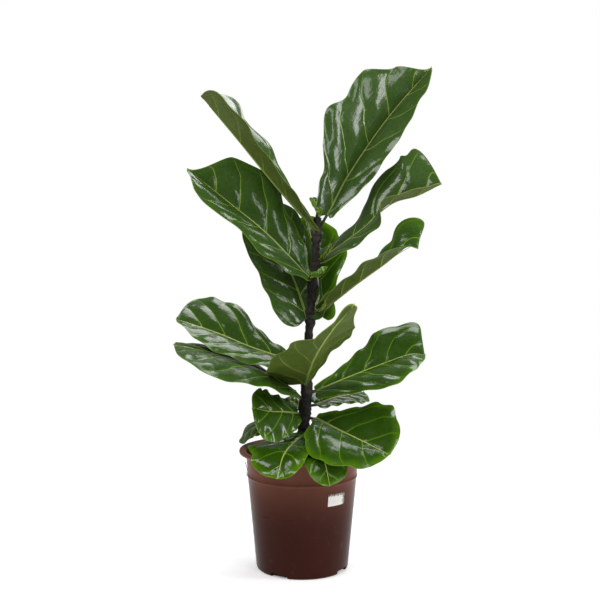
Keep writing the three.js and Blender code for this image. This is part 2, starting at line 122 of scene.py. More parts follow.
class Smooth:
    """A smooth curve of one variable through given points, straight beyond its ends."""

    def __init__(self, places: Sequence[float], values: Sequence[float]) -> None:
        """Keeps the points and works out the slope at each.

        Args:
            places: rising positions.
            values: the value at each.
        """
        self.places = np.array(places, float)
        self.values = np.array(values, float)
        self.slopes = np.gradient(self.values, self.places)

    def at(self, x: np.ndarray) -> np.ndarray:
        """Reads the curve.

        Args:
            x: where to read it.

        Returns:
            One value for each place.
        """
        i = np.clip(np.searchsorted(self.places, x, side="right") - 1, 0, len(self.places) - 2)
        step = self.places[i + 1] - self.places[i]
        u = np.clip((x - self.places[i]) / step, 0, 1)
        inside = (
            (2 * u**3 - 3 * u**2 + 1) * self.values[i]
            + (u**3 - 2 * u**2 + u) * step * self.slopes[i]
            + (3 * u**2 - 2 * u**3) * self.values[i + 1]
            + (u**3 - u**2) * step * self.slopes[i + 1]
        )
        before = np.minimum(x - self.places[0], 0) * self.slopes[0]
        after = np.maximum(x - self.places[-1], 0) * self.slopes[-1]
        return inside + before + after


class Path:
    """A smooth curve in space through points, read by the share of its length."""

    FINENESS = 60

    def __init__(self, points: Sequence[Point] | np.ndarray) -> None:
        """Draws the curve with mirrored end points, each stretch by FINENESS samples.

        Args:
            points: the points that it passes.
        """
        p = np.array(points, float)
        padded = np.vstack([2 * p[0] - p[1], p, 2 * p[-1] - p[-2]])
        t = np.linspace(0, 1, self.FINENESS, endpoint=False)[:, None]
        pieces = [
            0.5 * (2 * b + (c - a) * t + (2 * a - 5 * b + 4 * c - d) * t**2 + (3 * b - a - 3 * c + d) * t**3)
            for a, b, c, d in zip(padded, padded[1:], padded[2:], padded[3:])
        ]
        self.samples = np.vstack([*pieces, p[-1:]])
        steps = np.linalg.norm(np.diff(self.samples, axis=0), axis=1)
        self.reach = np.concatenate([[0.0], np.cumsum(steps)])
        self.length = float(self.reach[-1])
        self.directions = unit(np.gradient(self.samples, self.reach, axis=0))

    def point(self, share: np.ndarray) -> np.ndarray:
        """Points of the curve at shares of its length."""
        return resampled(self.samples, self.reach, np.asarray(share, float) * self.length)

    def direction(self, share: np.ndarray) -> np.ndarray:
        """Directions of the curve at shares of its length."""
        return unit(resampled(self.directions, self.reach, np.asarray(share, float) * self.length))

    def start_side(self) -> np.ndarray:
        """A level direction across the curve at its start."""
        return np.cross(self.direction(np.array(0.0)), UP)

    def carried(self, start: np.ndarray, steps: int) -> tuple[np.ndarray, np.ndarray]:
        """Carries a sideways direction along the curve without twisting it.

        Args:
            start: the direction at the curve's start.
            steps: how many steps the curve is cut into.

        Returns:
            The shares of the length where the steps end, and the direction at each.
        """
        stations = np.linspace(0, 1, steps + 1)
        rows = []
        side = start
        for direction in self.direction(stations):
            side = unit(side - direction * np.dot(side, direction))
            rows.append(side)
        return stations, np.array(rows)


class Grain:
    """Smooth seeded unevenness in space: a sum of plane waves in random directions."""

    WAVES = 28

    def __init__(self, seed: int, pitch: float, height: float = 1.0) -> None:
        """Draws the waves.

        Args:
            seed: the seed of the random draws.
            pitch: the middle wavelength in millimetres.
            height: the usual height of the unevenness.
        """
        self.height = height
        draw = np.random.default_rng(seed)
        lengths = pitch * draw.uniform(0.6, 1.7, self.WAVES)
        self.vectors = unit(draw.normal(size=(self.WAVES, 3))) * (FULL_TURN / lengths)[:, None]
        self.shifts = draw.uniform(0, FULL_TURN, self.WAVES)

    def at(self, points: np.ndarray) -> np.ndarray:
        """The unevenness, above and below 0, at points in millimetres."""
        waves = np.sin(points @ self.vectors.T + self.shifts)
        return waves.sum(axis=-1) / math.sqrt(self.WAVES * 2) * self.height


# ---------------------------------------------------------------- modelling steps

SELECT_ALL = partial(bpy.ops.mesh.select_all, action="SELECT")
ROD = "rod"  # a rod's own measure: (share of its length, share of the turn, radius)


class Bench:
    """Modelling steps that the pieces share, each done on one object by Blender's own operators."""

    WELD = 1e-6
    SMOOTH_ANGLE = math.radians(40)
    CARRY_STEPS = 200

    @staticmethod
    def add(name: str, primitive: Callable[..., Any], **settings: Any) -> bpy.types.Object:
        """Adds a primitive with nothing else selected.

        Args:
            name: the name of the object and its mesh.
            primitive: the operator that adds it.
            settings: the operator's settings.

        Returns:
            The new object.
        """
        bpy.ops.object.select_all(action="DESELECT")
        primitive(**settings)
        made = bpy.context.active_object
        made.name = made.data.name = name
        return made

    @staticmethod
    def pick(piece: bpy.types.Object, *others: bpy.types.Object) -> None:
        """Selects only the given objects.

        Args:
            piece: the object that becomes the active one.
            others: more objects to select.
        """
        bpy.ops.object.select_all(action="DESELECT")
        for one in (piece, *others):
            one.select_set(True)
        bpy.context.view_layer.objects.active = piece

    @classmethod
    def edit(cls, piece: bpy.types.Object, *steps: Callable[[], Any]) -> None:
        """Runs steps in edit mode.

        Args:
            piece: the object to edit.
            steps: the operators to call in turn.
        """
        cls.pick(piece)
        bpy.ops.object.mode_set(mode="EDIT")
        for step in steps:
            step()
        bpy.ops.object.mode_set(mode="OBJECT")

    @classmethod
    def weld(cls, piece: bpy.types.Object, closed: bool = True) -> None:
        """Merges doubles.

        Args:
            piece: the object to weld.
            closed: whether it is a closed shell, whose faces are then turned outward.
        """
        steps = [SELECT_ALL, partial(bpy.ops.mesh.remove_doubles, threshold=cls.WELD)]
        if closed:
            steps.append(partial(bpy.ops.mesh.normals_make_consistent, inside=False))
        cls.edit(piece, *steps)

    @classmethod
    def modify(cls, piece: bpy.types.Object, kind: str, **settings: Any) -> None:
        """Adds a modifier and applies it.

        Args:
            piece: the object to change.
            kind: the modifier's type.
            settings: the modifier's settings.
        """
        cls.pick(piece)
        modifier = piece.modifiers.new(kind.title(), kind)
        for key, value in settings.items():
            setattr(modifier, key, value)
        bpy.ops.object.modifier_apply(modifier=modifier.name)

    @classmethod
    def join(cls, piece: bpy.types.Object, *others: bpy.types.Object) -> None:
        """Joins other objects into the first."""
        cls.pick(piece, *others)
        bpy.ops.object.join()

    @staticmethod
    def vectors(items: Any, key: str) -> np.ndarray:
        """Reads one vector from each item of a mesh's list.

        Args:
            items: the list, such as a mesh's vertices.
            key: the property that holds the vector.

        Returns:
            One row for each item.
        """
        flat = np.zeros(len(items) * 3)
        items.foreach_get(key, flat)
        return flat.reshape(-1, 3)

    @classmethod
    def points(cls, piece: bpy.types.Object) -> np.ndarray:
        """The mesh's vertices in millimetres."""
        return cls.vectors(piece.data.vertices, "co") / MM

    @classmethod
    def normals(cls, piece: bpy.types.Object) -> np.ndarray:
        """The mesh's vertex normals."""
        return cls.vectors(piece.data.vertex_normals, "vector")

    @staticmethod
    def place(piece: bpy.types.Object, points: np.ndarray) -> None:
        """Writes the mesh's vertices from millimetres."""
        piece.data.vertices.foreach_set("co", (points * MM).ravel())
        piece.data.update()

    @classmethod
    def raise_by(cls, piece: bpy.types.Object, heights: np.ndarray) -> None:
        """Moves each vertex along its normal by its own height in millimetres."""
        cls.place(piece, cls.points(piece) + cls.normals(piece) * heights[:, None])

    @staticmethod
    def note(piece: bpy.types.Object, name: str, *values: np.ndarray | float) -> None:
        """Writes a named attribute, which the finishes read.

        Args:
            piece: the mesh object.
            name: the attribute's name.
            values: its three parts, each one value or a value for each vertex.
        """
        attributes = piece.data.attributes
        attribute = attributes.get(name) or attributes.new(name, "FLOAT_VECTOR", "POINT")
        rows = np.zeros((len(piece.data.vertices), 3), np.float32)
        for part, value in enumerate(values):
            rows[:, part] = value
        attribute.data.foreach_set("vector", rows.ravel())

    @classmethod
    def noted(cls, piece: bpy.types.Object, name: str) -> np.ndarray:
        """Reads a named attribute back, one row for each vertex."""
        return cls.vectors(piece.data.attributes[name].data, "vector")

    @staticmethod
    def unwrap(piece: bpy.types.Object, name: str, flat: np.ndarray) -> None:
        """Writes a UV map from one flat place for each vertex.

        Args:
            piece: the mesh object, which has one UV map.
            name: the map's new name.
            flat: two coordinates for each vertex.
        """
        layer = piece.data.uv_layers[0]
        layer.name = name
        corners = np.zeros(len(piece.data.loops), int)
        piece.data.loops.foreach_get("vertex_index", corners)
        layer.data.foreach_set("uv", flat[corners].astype(np.float32).ravel())

    @classmethod
    def sheet(cls, name: str, columns: int, rows: int) -> tuple[bpy.types.Object, np.ndarray, np.ndarray]:
        """Adds a flat grid, ready to be shaped.

        Args:
            name: the object's name.
            columns: faces along its first direction.
            rows: faces along its second direction.

        Returns:
            The object, and each vertex's place along the first and the second direction, from 0 to 1.
        """
        grid = bpy.ops.mesh.primitive_grid_add
        made = cls.add(name, grid, x_subdivisions=columns, y_subdivisions=rows, size=1, calc_uvs=True)
        flat = cls.points(made) * MM
        return made, flat[:, 0] + 0.5, flat[:, 1] + 0.5

    @classmethod
    def tube(
        cls, name: str, path: Path, shares: np.ndarray, radii: np.ndarray, sides: int, side: np.ndarray
    ) -> bpy.types.Object:
        """Rolls a grid into a closed rod along a curve, with a pole at each end.

        Args:
            name: the object's name.
            path: the rod's middle line.
            shares: the share of the path's length at each ring.
            radii: the radius of each ring.
            sides: faces round the rod.
            side: a direction across the path at its start.

        Returns:
            The object, with the attribute ROD.
        """
        last = len(shares) + 1
        made, along, turn = cls.sheet(name, last, sides)
        ring = np.rint(along * last).astype(int)
        station = np.clip(ring - 1, 0, len(shares) - 1)
        radius = np.where((ring == 0) | (ring == last), 0.0, radii[station])
        share = shares[station]
        stations, across = path.carried(side, cls.CARRY_STEPS)
        first = resampled(across, stations, share)
        second = np.cross(path.direction(share), first)
        angle = turn * FULL_TURN
        spoke = first * np.cos(angle)[:, None] + second * np.sin(angle)[:, None]
        cls.place(made, path.point(share) + spoke * radius[:, None])
        cls.note(made, ROD, share, turn, radii[station])
        cls.weld(made)
        return made

    @classmethod
    def turned(cls, name: str, profile: Sequence[tuple[float, float]], steps: int) -> bpy.types.Object:
        """Spins a profile about the Z axis. Its first and last points lie on the axis.

        Args:
            name: the object's name.
            profile: (radius, height) points in millimetres.
            steps: faces round the axis.

        Returns:
            The closed object.
        """
        circle = bpy.ops.mesh.primitive_circle_add
        made = cls.add(name, circle, vertices=len(profile), fill_type="NOTHING")
        cls.place(made, np.array([(radius, 0.0, height) for radius, height in profile]))
        ends = (0, len(profile) - 1)
        for vertex in made.data.vertices:
            vertex.select = vertex.index in ends
        for edge in made.data.edges:
            edge.select = set(edge.vertices) == set(ends)
        open_up = partial(bpy.ops.mesh.delete, type="EDGE_FACE")
        spin = partial(bpy.ops.mesh.spin, steps=steps, angle=FULL_TURN, center=(0, 0, 0), axis=(0, 0, 1))
        cls.edit(made, open_up, SELECT_ALL, spin)
        cls.weld(made)
        return made

    @classmethod
    def finish(
        cls, piece: bpy.types.Object, slot: Slot, nodes: Sequence[str], finishes: Sequence[bpy.types.Material]
    ) -> None:
        """Smooths and dresses a piece, and ties it to the frame.

        Args:
            piece: the finished mesh object.
            slot: the record's slot, which is not used.
            nodes: the frame's nodes that it stands for.
            finishes: its materials, in the order of its faces' indices.
        """
        cls.pick(piece)
        bpy.ops.object.shade_smooth_by_angle(angle=cls.SMOOTH_ANGLE)
        piece.data.materials.clear()
        for finish in finishes:
            piece.data.materials.append(finish)
        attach(piece, "root")
        if nodes:
            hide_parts(*nodes)
        log.info("%s: %d faces", piece.name, len(piece.data.polygons))


# ---------------------------------------------------------------- shader building


class Wire:
    """A shader socket that can stand in Python expressions, each of which adds its Math node."""

    def __init__(self, graph: "Graph", socket: bpy.types.NodeSocket) -> None:
        """Keeps the socket and the graph that it belongs to."""
        self.graph = graph
        self.socket = socket

    def __add__(self, other: Any) -> "Wire":
        """self + other."""
        return self.graph.maths("ADD", self, other)

    def __sub__(self, other: Any) -> "Wire":
        """self - other."""
        return self.graph.maths("SUBTRACT", self, other)

    def __rsub__(self, other: Any) -> "Wire":
        """other - self."""
        return self.graph.maths("SUBTRACT", other, self)

    def __mul__(self, other: Any) -> "Wire":
        """self * other."""
        return self.graph.maths("MULTIPLY", self, other)

    def __truediv__(self, other: Any) -> "Wire":
        """self / other."""
        return self.graph.maths("DIVIDE", self, other)

    def __rtruediv__(self, other: Any) -> "Wire":
        """other / self."""
        return self.graph.maths("DIVIDE", other, self)

    __radd__ = __add__
    __rmul__ = __mul__

    def size(self) -> "Wire":
        """The value without its sign."""
        return self.graph.maths("ABSOLUTE", self)

    def whole(self) -> "Wire":
        """The nearest whole number."""
        return self.graph.maths("ROUND", self)

    def most(self, other: Any) -> "Wire":
        """The larger of two values."""
        return self.graph.maths("MAXIMUM", self, other)

    def step(self, low: float, high: float) -> "Wire":
        """A smooth step between two values.

        Args:
            low: the value at which the step is 0.
            high: the value at which it is 1, which may be the smaller one.

        Returns:
            The step, from 0 to 1.
        """
        if low > high:
            return 1 - self.step(high, low)
        settings = {"interpolation_type": "SMOOTHSTEP"}
        values = {"Value": self, "From Min": low, "From Max": high}
        return self.graph.add("ShaderNodeMapRange", settings, values)

    def twin(self, name: str) -> "Wire":
        """Another output of the same node."""
        return Wire(self.graph, self.socket.node.outputs[name])


class Graph:
    """One material's node tree, written as expressions."""

    def __init__(self, owner: bpy.types.Material | bpy.types.World) -> None:
        """Starts an empty node tree.

        Args:
            owner: the new material or surroundings that the tree belongs to.
        """
        self.owner = owner
        owner.use_nodes = True
        self.tree = owner.node_tree
        self.tree.nodes.clear()

    @classmethod
    def material(cls, name: str) -> "Graph":
        """Starts a new material."""
        return cls(bpy.data.materials.new(name))

    def add(
        self,
        kind: str,
        settings: dict[str, Any] | None = None,
        values: dict[str | int, Any] | None = None,
        output: str | int = 0,
    ) -> Wire:
        """Adds a node.

        Args:
            kind: the node's type.
            settings: its properties, set before its sockets.
            values: a number, a colour or a Wire for each input, by name or number.
            output: the output to return.

        Returns:
            The chosen output.
        """
        node = self.tree.nodes.new(kind)
        for key, value in (settings or {}).items():
            setattr(node, key, value)
        for key, value in (values or {}).items():
            if isinstance(value, Wire):
                self.tree.links.new(value.socket, node.inputs[key])
            else:
                node.inputs[key].default_value = value
        return Wire(self, node.outputs[output])

    def maths(self, operation: str, *values: Any) -> Wire:
        """Adds a Math node that works on values in their order."""
        return self.add("ShaderNodeMath", {"operation": operation}, dict(enumerate(values)))

    def vectors(self, operation: str, values: dict[str | int, Any], output: str | int = 0) -> Wire:
        """Adds a Vector Math node."""
        return self.add("ShaderNodeVectorMath", {"operation": operation}, values, output)

    def mix(self, share: Wire | float, first: Wire | Colour, second: Wire | Colour) -> Wire:
        """Mixes two colours by a share of the second."""
        return self.add("ShaderNodeMix", {"data_type": "RGBA"}, {0: share, 6: first, 7: second}, 2)

    def split(self, vector: Wire) -> tuple[Wire, Wire, Wire]:
        """The three parts of a vector."""
        x = self.add("ShaderNodeSeparateXYZ", {}, {0: vector})
        return x, x.twin("Y"), x.twin("Z")

    def note(self, name: str) -> tuple[Wire, Wire, Wire]:
        """The three parts of one of the mesh's vector attributes."""
        return self.split(self.add("ShaderNodeAttribute", {"attribute_name": name}, {}, "Vector"))

    def here(self) -> Wire:
        """The place in the object's own frame, in metres."""
        return self.add("ShaderNodeTexCoord", {}, {}, "Object")

    def noise(
        self, place: Wire, scale: float, detail: float = 3.0, roughness: float = 0.55, output: str | int = 0
    ) -> Wire:
        """Adds cloudy noise.

        Args:
            place: where to read it.
            scale: clouds per unit of length.
            detail: how many finer layers it has.
            roughness: how strong they are.
            output: "Color" for three noises instead of one.

        Returns:
            The noise, from 0 to 1.
        """
        values = {"Vector": place, "Scale": scale, "Detail": detail, "Roughness": roughness}
        return self.add("ShaderNodeTexNoise", {}, values, output)

    def cells(self, place: Wire, scale: float) -> Wire:
        """Distance to the edge of the nearest cell of a net."""
        settings = {"feature": "DISTANCE_TO_EDGE", "voronoi_dimensions": "2D"}
        return self.add("ShaderNodeTexVoronoi", settings, {"Vector": place, "Scale": scale})

    def shift(self, place: Wire, by: Wire, amount: float) -> Wire:
        """Moves a place by three noises of 0 to 1, one for each direction."""
        return self.vectors("ADD", {0: place, 1: self.vectors("SCALE", {0: by, "Scale": amount})})

    def squeeze(self, place: Wire, upward: float) -> Wire:
        """Multiplies a place's height, which flattens a pattern or draws it out along Z."""
        return self.vectors("MULTIPLY", {0: place, 1: (1, 1, upward)})

    def bump(self, height: Wire, depth: float, strength: float = 1.0) -> Wire:
        """Turns a height into a normal.

        Args:
            height: the height as a share of the depth.
            depth: the relief in metres for a height of one.
            strength: how much of it shows.

        Returns:
            The bumped normal.
        """
        return self.add("ShaderNodeBump", {}, {"Height": height, "Distance": depth, "Strength": strength})

    def surface(self, values: dict[str, Any]) -> bpy.types.Material:
        """Ends the tree in a Principled surface and returns the material."""
        self.end("ShaderNodeOutputMaterial", self.add("ShaderNodeBsdfPrincipled", {}, values))
        return self.owner

    def end(self, kind: str, shader: Wire) -> None:
        """Links a shader to a new output node of the given type."""
        self.tree.links.new(shader.socket, self.tree.nodes.new(kind).inputs["Surface"])


# ---------------------------------------------------------------- leaf finishes

BLADE_MAP = "blade"  # the flattened blade, in centimetres: x along the midrib, y across it
MAP_UNIT = 10.0  # its unit in millimetres
VEINS = "veins"  # (share along the midrib, lateral vein count, share out to the margin)
GAUGE = "gauge"  # (tone, millimetres from one lateral vein to the next, millimetres to the margin)


@dataclass(frozen=True)
class VeinDrawing:
    """The drawing of a blade's veins: the measures it starts from, then masks of 0 to 1."""

    place: Wire
    along: Wire
    across: Wire
    tone: Wire
    count: Wire
    offset: Wire
    cell: Wire
    edge: Wire
    midrib: Wire
    lateral: Wire
    net: Wire
    rim: Wire


@dataclass(frozen=True)
class BladeFinish:
    """What the two faces of a blade share. Widths are in millimetres, scales are per centimetre."""

    midrib_width: float = 3.0
    lateral_width: float = 1.35
    least_width: float = 0.55
    rim_width: float = 1.3
    net_scale: float = 0.8
    wobble_scale: float = 0.7
    wobble: float = 0.8
    cloud_scale: float = 0.3

    def draw(self, graph: Graph) -> VeinDrawing:
        """Draws the veins.

        Args:
            graph: the material's graph.

        Returns:
            The measures and masks.
        """
        along, count, reach = graph.note(VEINS)
        tone, pitch, edge = graph.note(GAUGE)
        place = graph.add("ShaderNodeUVMap", {"uv_map": BLADE_MAP})
        across = graph.split(place)[1].size() * MAP_UNIT
        wobble = graph.noise(place, self.wobble_scale, 2.0, 0.5, "Color")
        rib = (self.midrib_width * (1 - 0.85 * along)).most(self.least_width)
        offset = (count - count.whole()).size() * pitch
        width = (self.lateral_width * (1 - 0.55 * reach)).most(self.least_width)
        cell = graph.cells(graph.shift(place, wobble, self.wobble), self.net_scale)
        return VeinDrawing(
            place, along, across, tone, count, offset, cell, edge,
            midrib=(across / rib).step(1.0, 0.6),
            lateral=(offset / width).step(0.95, 0.35) * reach.step(0.98, 0.85),
            net=cell.step(0.05, 0.0),
            rim=edge.step(self.rim_width, 0.5),
        )


@dataclass(frozen=True)
class UpperFinish(BladeFinish):
    """The waxy, glossy upper face."""

    # dark: painted shade for the blade near the stem
    dark: Colour = tint(36, 58, 22)
    deep: Colour = tint(60, 84, 40)
    fresh: Colour = tint(36, 68, 0)
    # lit: the painted light along the margins, also mixed in beside the lateral veins
    lit: Colour = tint(92, 140, 6)
    vein: Colour = tint(150, 172, 74)
    vein_low: Colour = tint(118, 156, 24)
    rib: Colour = tint(172, 184, 84)
    gloss: float = 0.16
    wax: float = 0.4
    soft_scale: float = 1.3
    comb_pitch: tuple[float, float] = (0.9, 0.2)
    lit_margin_width: float = 20.0
    beside_width: float = 5.0
    depth: float = 0.0009

    def make(self) -> bpy.types.Material:
        """Builds the material.

        Returns:
            The material of the upper face.
        """
        graph = Graph.material("leaf_upper_face")
        v = self.draw(graph)
        cloud = graph.noise(v.place, self.cloud_scale, 4.0)
        soft = graph.noise(v.place, self.soft_scale, 2.0)
        young = v.tone.step(0.4, 0.8)
        share = v.tone + (cloud - 0.5) * 0.7 + (soft - 0.5) * 0.15
        body = graph.mix(share.step(0.0, 1.0), self.deep, self.fresh)
        # Painted shade: the blade darker towards its base near the stem, in cloudy patches
        body = graph.mix(v.along.step(0.5, 0.0) * 0.55 * cloud.step(0.2, 0.6), body, self.dark)
        # Painted light: a yellow-green glow along the margins of the fresher leaves, as if light shone
        # through the thin blade
        glow = v.edge.step(self.lit_margin_width, 0.0) * (v.tone + cloud - 0.5).step(0.3, 1.0)
        body = graph.mix(glow * 0.55, body, self.lit)
        vein = graph.mix(v.tone.step(0.3, 0.75), self.vein, self.vein_low)
        beside = (v.offset / self.beside_width).step(1.0, 0.0)
        body = graph.mix(beside * 0.12, body, self.lit)
        body = graph.mix(v.net * 0.08, body, vein)
        body = graph.mix(v.lateral * (0.7 - 0.2 * young), body, vein)
        body = graph.mix(v.rim * 0.45, body, vein)
        body = graph.mix(v.midrib * 0.95, body, self.rib)
        rough = self.gloss + soft.step(0.5, 0.8) * 0.12 + v.midrib * 0.15
        by_vein, by_reach = self.comb_pitch
        parts = {0: v.count * by_vein, 1: v.across * by_reach, 2: v.tone}
        comb = graph.noise(graph.add("ShaderNodeCombineXYZ", {}, parts), 1.0, 1.0, 0.5)
        height = (comb * 0.7 + (soft - 0.5) * 0.3) * (1 - young * 0.7) + v.cell.step(0.0, 0.3) * 0.12
        return graph.surface({
            "Base Color": body, "Roughness": rough, "Specular IOR Level": self.wax,
            "Normal": graph.bump(height, self.depth, 0.5),
        })


@dataclass(frozen=True)
class UnderFinish(BladeFinish):
    """The paler, matter underside with its raised veins."""

    lateral_width: float = 1.7
    dull: Colour = tint(88, 104, 44)
    warm: Colour = tint(56, 78, 2)
    vein: Colour = tint(158, 174, 78)
    wax: float = 0.2
    depth: float = 0.0004

    def make(self) -> bpy.types.Material:
        """Builds the material.

        Returns:
            The material of the underside.
        """
        graph = Graph.material("leaf_underside")
        v = self.draw(graph)
        cloud = graph.noise(v.place, self.cloud_scale, 4.0)
        body = graph.mix((v.tone + (cloud - 0.5) * 0.6).step(0.0, 1.0), self.dull, self.warm)
        body = graph.mix(v.net * 0.08, body, self.vein)
        body = graph.mix(v.lateral * 0.5, body, self.vein)
        body = graph.mix((v.rim + v.midrib) * 0.5, body, self.vein)
        return graph.surface({
            "Base Color": body, "Roughness": 0.46 + cloud * 0.14, "Specular IOR Level": self.wax,
            "Normal": graph.bump(v.net * 0.06 + v.lateral * 0.4, self.depth, 0.5),
        })


@dataclass(frozen=True)
class StalkFinish:
    """The stalk: woody brown at the stem, yellow-green along the blade."""

    wood: Colour = tint(40, 30, 22)
    green: Colour = tint(96, 118, 48)
    pale: Colour = tint(150, 166, 78)
    speck_scale: float = 900.0
    cork_scale: float = 160.0
    depth: float = 0.0003

    def make(self) -> bpy.types.Material:
        """Builds the material. The first part of the attribute GAUGE is the share where the blade starts.

        Returns:
            The material of the stalk.
        """
        graph = Graph.material("leaf_stalk")
        share, _, _ = graph.note(ROD)
        start, _, _ = graph.note(GAUGE)
        here = graph.here()
        speck = graph.noise(here, self.speck_scale, 4.0)
        cork = graph.noise(here, self.cork_scale)
        woody = ((share - start) * 8 + (cork - 0.5) * 1.2).step(0.1, -0.5)
        body = graph.mix(share.step(0.0, 0.8), self.green, self.pale)
        body = graph.mix(woody * 0.96, body, self.wood)
        body = graph.mix(speck.step(0.62, 0.8) * 0.35, body, self.wood)
        normal = graph.bump(speck + cork, self.depth, 0.7)
        return graph.surface({"Base Color": body, "Roughness": 0.5 + woody * 0.22, "Normal": normal})


# ---------------------------------------------------------------- pot, soil, bark and small finishes
# Their scales are per metre, and the depths of their relief in metres.


@dataclass(frozen=True)
class PotFinish:
    """Satin moulded plastic with faint level flow bands, dust and scuffs."""

    body: Colour = tint(46, 16, 8)
    warm: Colour = tint(58, 23, 14)
    # pale: painted light on the upper wall and collar
    pale: Colour = tint(116, 72, 56)
    dust: Colour = tint(116, 92, 80)
    shine: float = 0.08
    cloud_scale: float = 9.0
    band_scale: float = 2.4
    band_squeeze: float = 60.0
    grit_scale: float = 420.0
    scuff_scale: float = 46.0
    depth: float = 0.00035

    def make(self) -> bpy.types.Material:
        """Builds the material.

        Returns:
            The material of the pot, paler towards its rim by painted light from above, and dustier at its
            foot.
        """
        graph = Graph.material("moulded_plastic")
        here = graph.here()
        _, _, height = graph.split(here)
        cloud = graph.noise(here, self.cloud_scale, 4.0)
        bands = graph.noise(graph.squeeze(here, self.band_squeeze), self.band_scale)
        grit = graph.noise(here, self.grit_scale, 5.0, 0.7)
        scuff = graph.noise(here, self.scuff_scale, 6.0, 0.65)
        body = graph.mix(cloud * 0.7, self.body, self.warm)
        # Painted light: the wall paler towards the rim, as if lit from above
        lift = height.step(0.02, 0.24)
        body = graph.mix(lift * lift * lift * 0.9, body, self.pale)
        low = height.step(0.2, 0.0)
        dusty = (scuff.step(0.58, 0.74) * 0.1 + grit.step(0.66, 0.75) * 0.2) * (0.4 + low)
        body = graph.mix(dusty, body, self.dust)
        rough = 0.3 + (cloud - 0.5) * 0.12 + dusty * 0.5 + (bands - 0.5) * 0.1
        relief = bands * 0.25 + grit * 0.12 + cloud * 0.6
        return graph.surface({
            "Base Color": body, "Roughness": rough, "Specular IOR Level": self.shine,
            "Normal": graph.bump(relief, self.depth, 0.6),
        })


@dataclass(frozen=True)
class Layer:
    """A layer of cloudy noise that shows as a colour and as relief.

    Attributes:
        colour: the colour that it adds.
        low: the noise at which the colour starts to show.
        high: the noise at which it shows fully.
        scale: clouds per metre.
        detail: how many finer clouds it has.
        roughness: how strong they are.
        share: how much of the colour shows.
        relief: the height that it adds, as a share of the finish's depth.
        squeeze: what heights are multiplied by before the noise is read.
    """

    colour: Colour
    low: float
    high: float
    scale: float
    detail: float
    roughness: float = 0.55
    share: float = 1.0
    relief: float = 0.0
    squeeze: float = 1.0

    def read(self, graph: Graph, here: Wire) -> Wire:
        """Reads the layer's noise at a place."""
        return graph.noise(graph.squeeze(here, self.squeeze), self.scale, self.detail, self.roughness)


@dataclass(frozen=True)
class LayeredFinish:
    """A finish of layers over a ground colour. The first layer also varies the roughness."""

    name: str
    ground: Colour
    layers: tuple[Layer, ...]
    rough: float
    rough_change: float
    depth: float
    strength: float

    def make(self) -> bpy.types.Material:
        """Builds the material.

        Returns:
            The new material.
        """
        graph = Graph.material(self.name)
        here = graph.here()
        noises = [layer.read(graph, here) for layer in self.layers]
        body, relief = self.ground, 0.0
        for layer, noise in zip(self.layers, noises):
            body = graph.mix(noise.step(layer.low, layer.high) * layer.share, body, layer.colour)
            relief = noise * layer.relief + relief
        rough = self.rough + noises[0] * self.rough_change
        normal = graph.bump(relief, self.depth, self.strength)
        return graph.surface({"Base Color": body, "Roughness": rough, "Normal": normal})


@dataclass(frozen=True)
class SoilFinish(LayeredFinish):
    """Moist peat with paler clods and fibres."""

    name: str = "moist_peat"
    ground: Colour = tint(34, 23, 16)
    layers: tuple[Layer, ...] = (
        Layer(tint(72, 50, 34), 0.35, 0.7, 120.0, 6.0, 0.65, relief=0.6),
        Layer(tint(120, 92, 62), 0.63, 0.74, 700.0, 5.0, 0.7, share=0.6, relief=0.4),
    )
    rough: float = 0.86
    rough_change: float = 0.12
    depth: float = 0.002
    strength: float = 0.9


@dataclass(frozen=True)
class BarkFinish(LayeredFinish):
    """Young dark bark with brown patches, pale cork flecks and fine upright cracks."""

    name: str = "young_bark"
    ground: Colour = tint(20, 16, 15)
    layers: tuple[Layer, ...] = (
        Layer(tint(46, 35, 29), 0.35, 0.72, 70.0, 5.0, 0.6),
        Layer(tint(104, 86, 70), 0.62, 0.72, 520.0, 4.0, 0.65, share=0.7, relief=0.4),
        Layer(tint(20, 16, 15), 0.45, 0.34, 340.0, 5.0, 0.6, share=0.7, relief=0.7, squeeze=0.22),
    )
    rough: float = 0.62
    rough_change: float = 0.2
    depth: float = 0.0009
    strength: float = 0.9


@dataclass(frozen=True)
class SheathFinish(LayeredFinish):
    """Papery red-brown bud scales with brown patches and lengthwise green fibres."""

    name: str = "bud_scales"
    ground: Colour = tint(92, 48, 34)
    layers: tuple[Layer, ...] = (
        Layer(tint(52, 34, 26), 0.35, 0.7, 190.0, 3.0),
        Layer(tint(104, 112, 56), 0.55, 0.8, 900.0, 4.0, share=0.4, relief=1.0, squeeze=0.12),
    )
    rough: float = 0.5
    rough_change: float = 0.15
    depth: float = 0.0003
    strength: float = 0.7


@dataclass(frozen=True)
class FibreFinish(LayeredFinish):
    """A dry brown root with lighter specks."""

    name: str = "dry_root"
    ground: Colour = tint(70, 42, 32)
    layers: tuple[Layer, ...] = (Layer(tint(128, 96, 74), 0.4, 0.7, 900.0, 4.0, relief=1.0),)
    rough: float = 0.7
    rough_change: float = 0.2
    depth: float = 0.0003
    strength: float = 0.7


WEAR = "wear"  # how worn the sticker's paper is, 1 at its torn edges


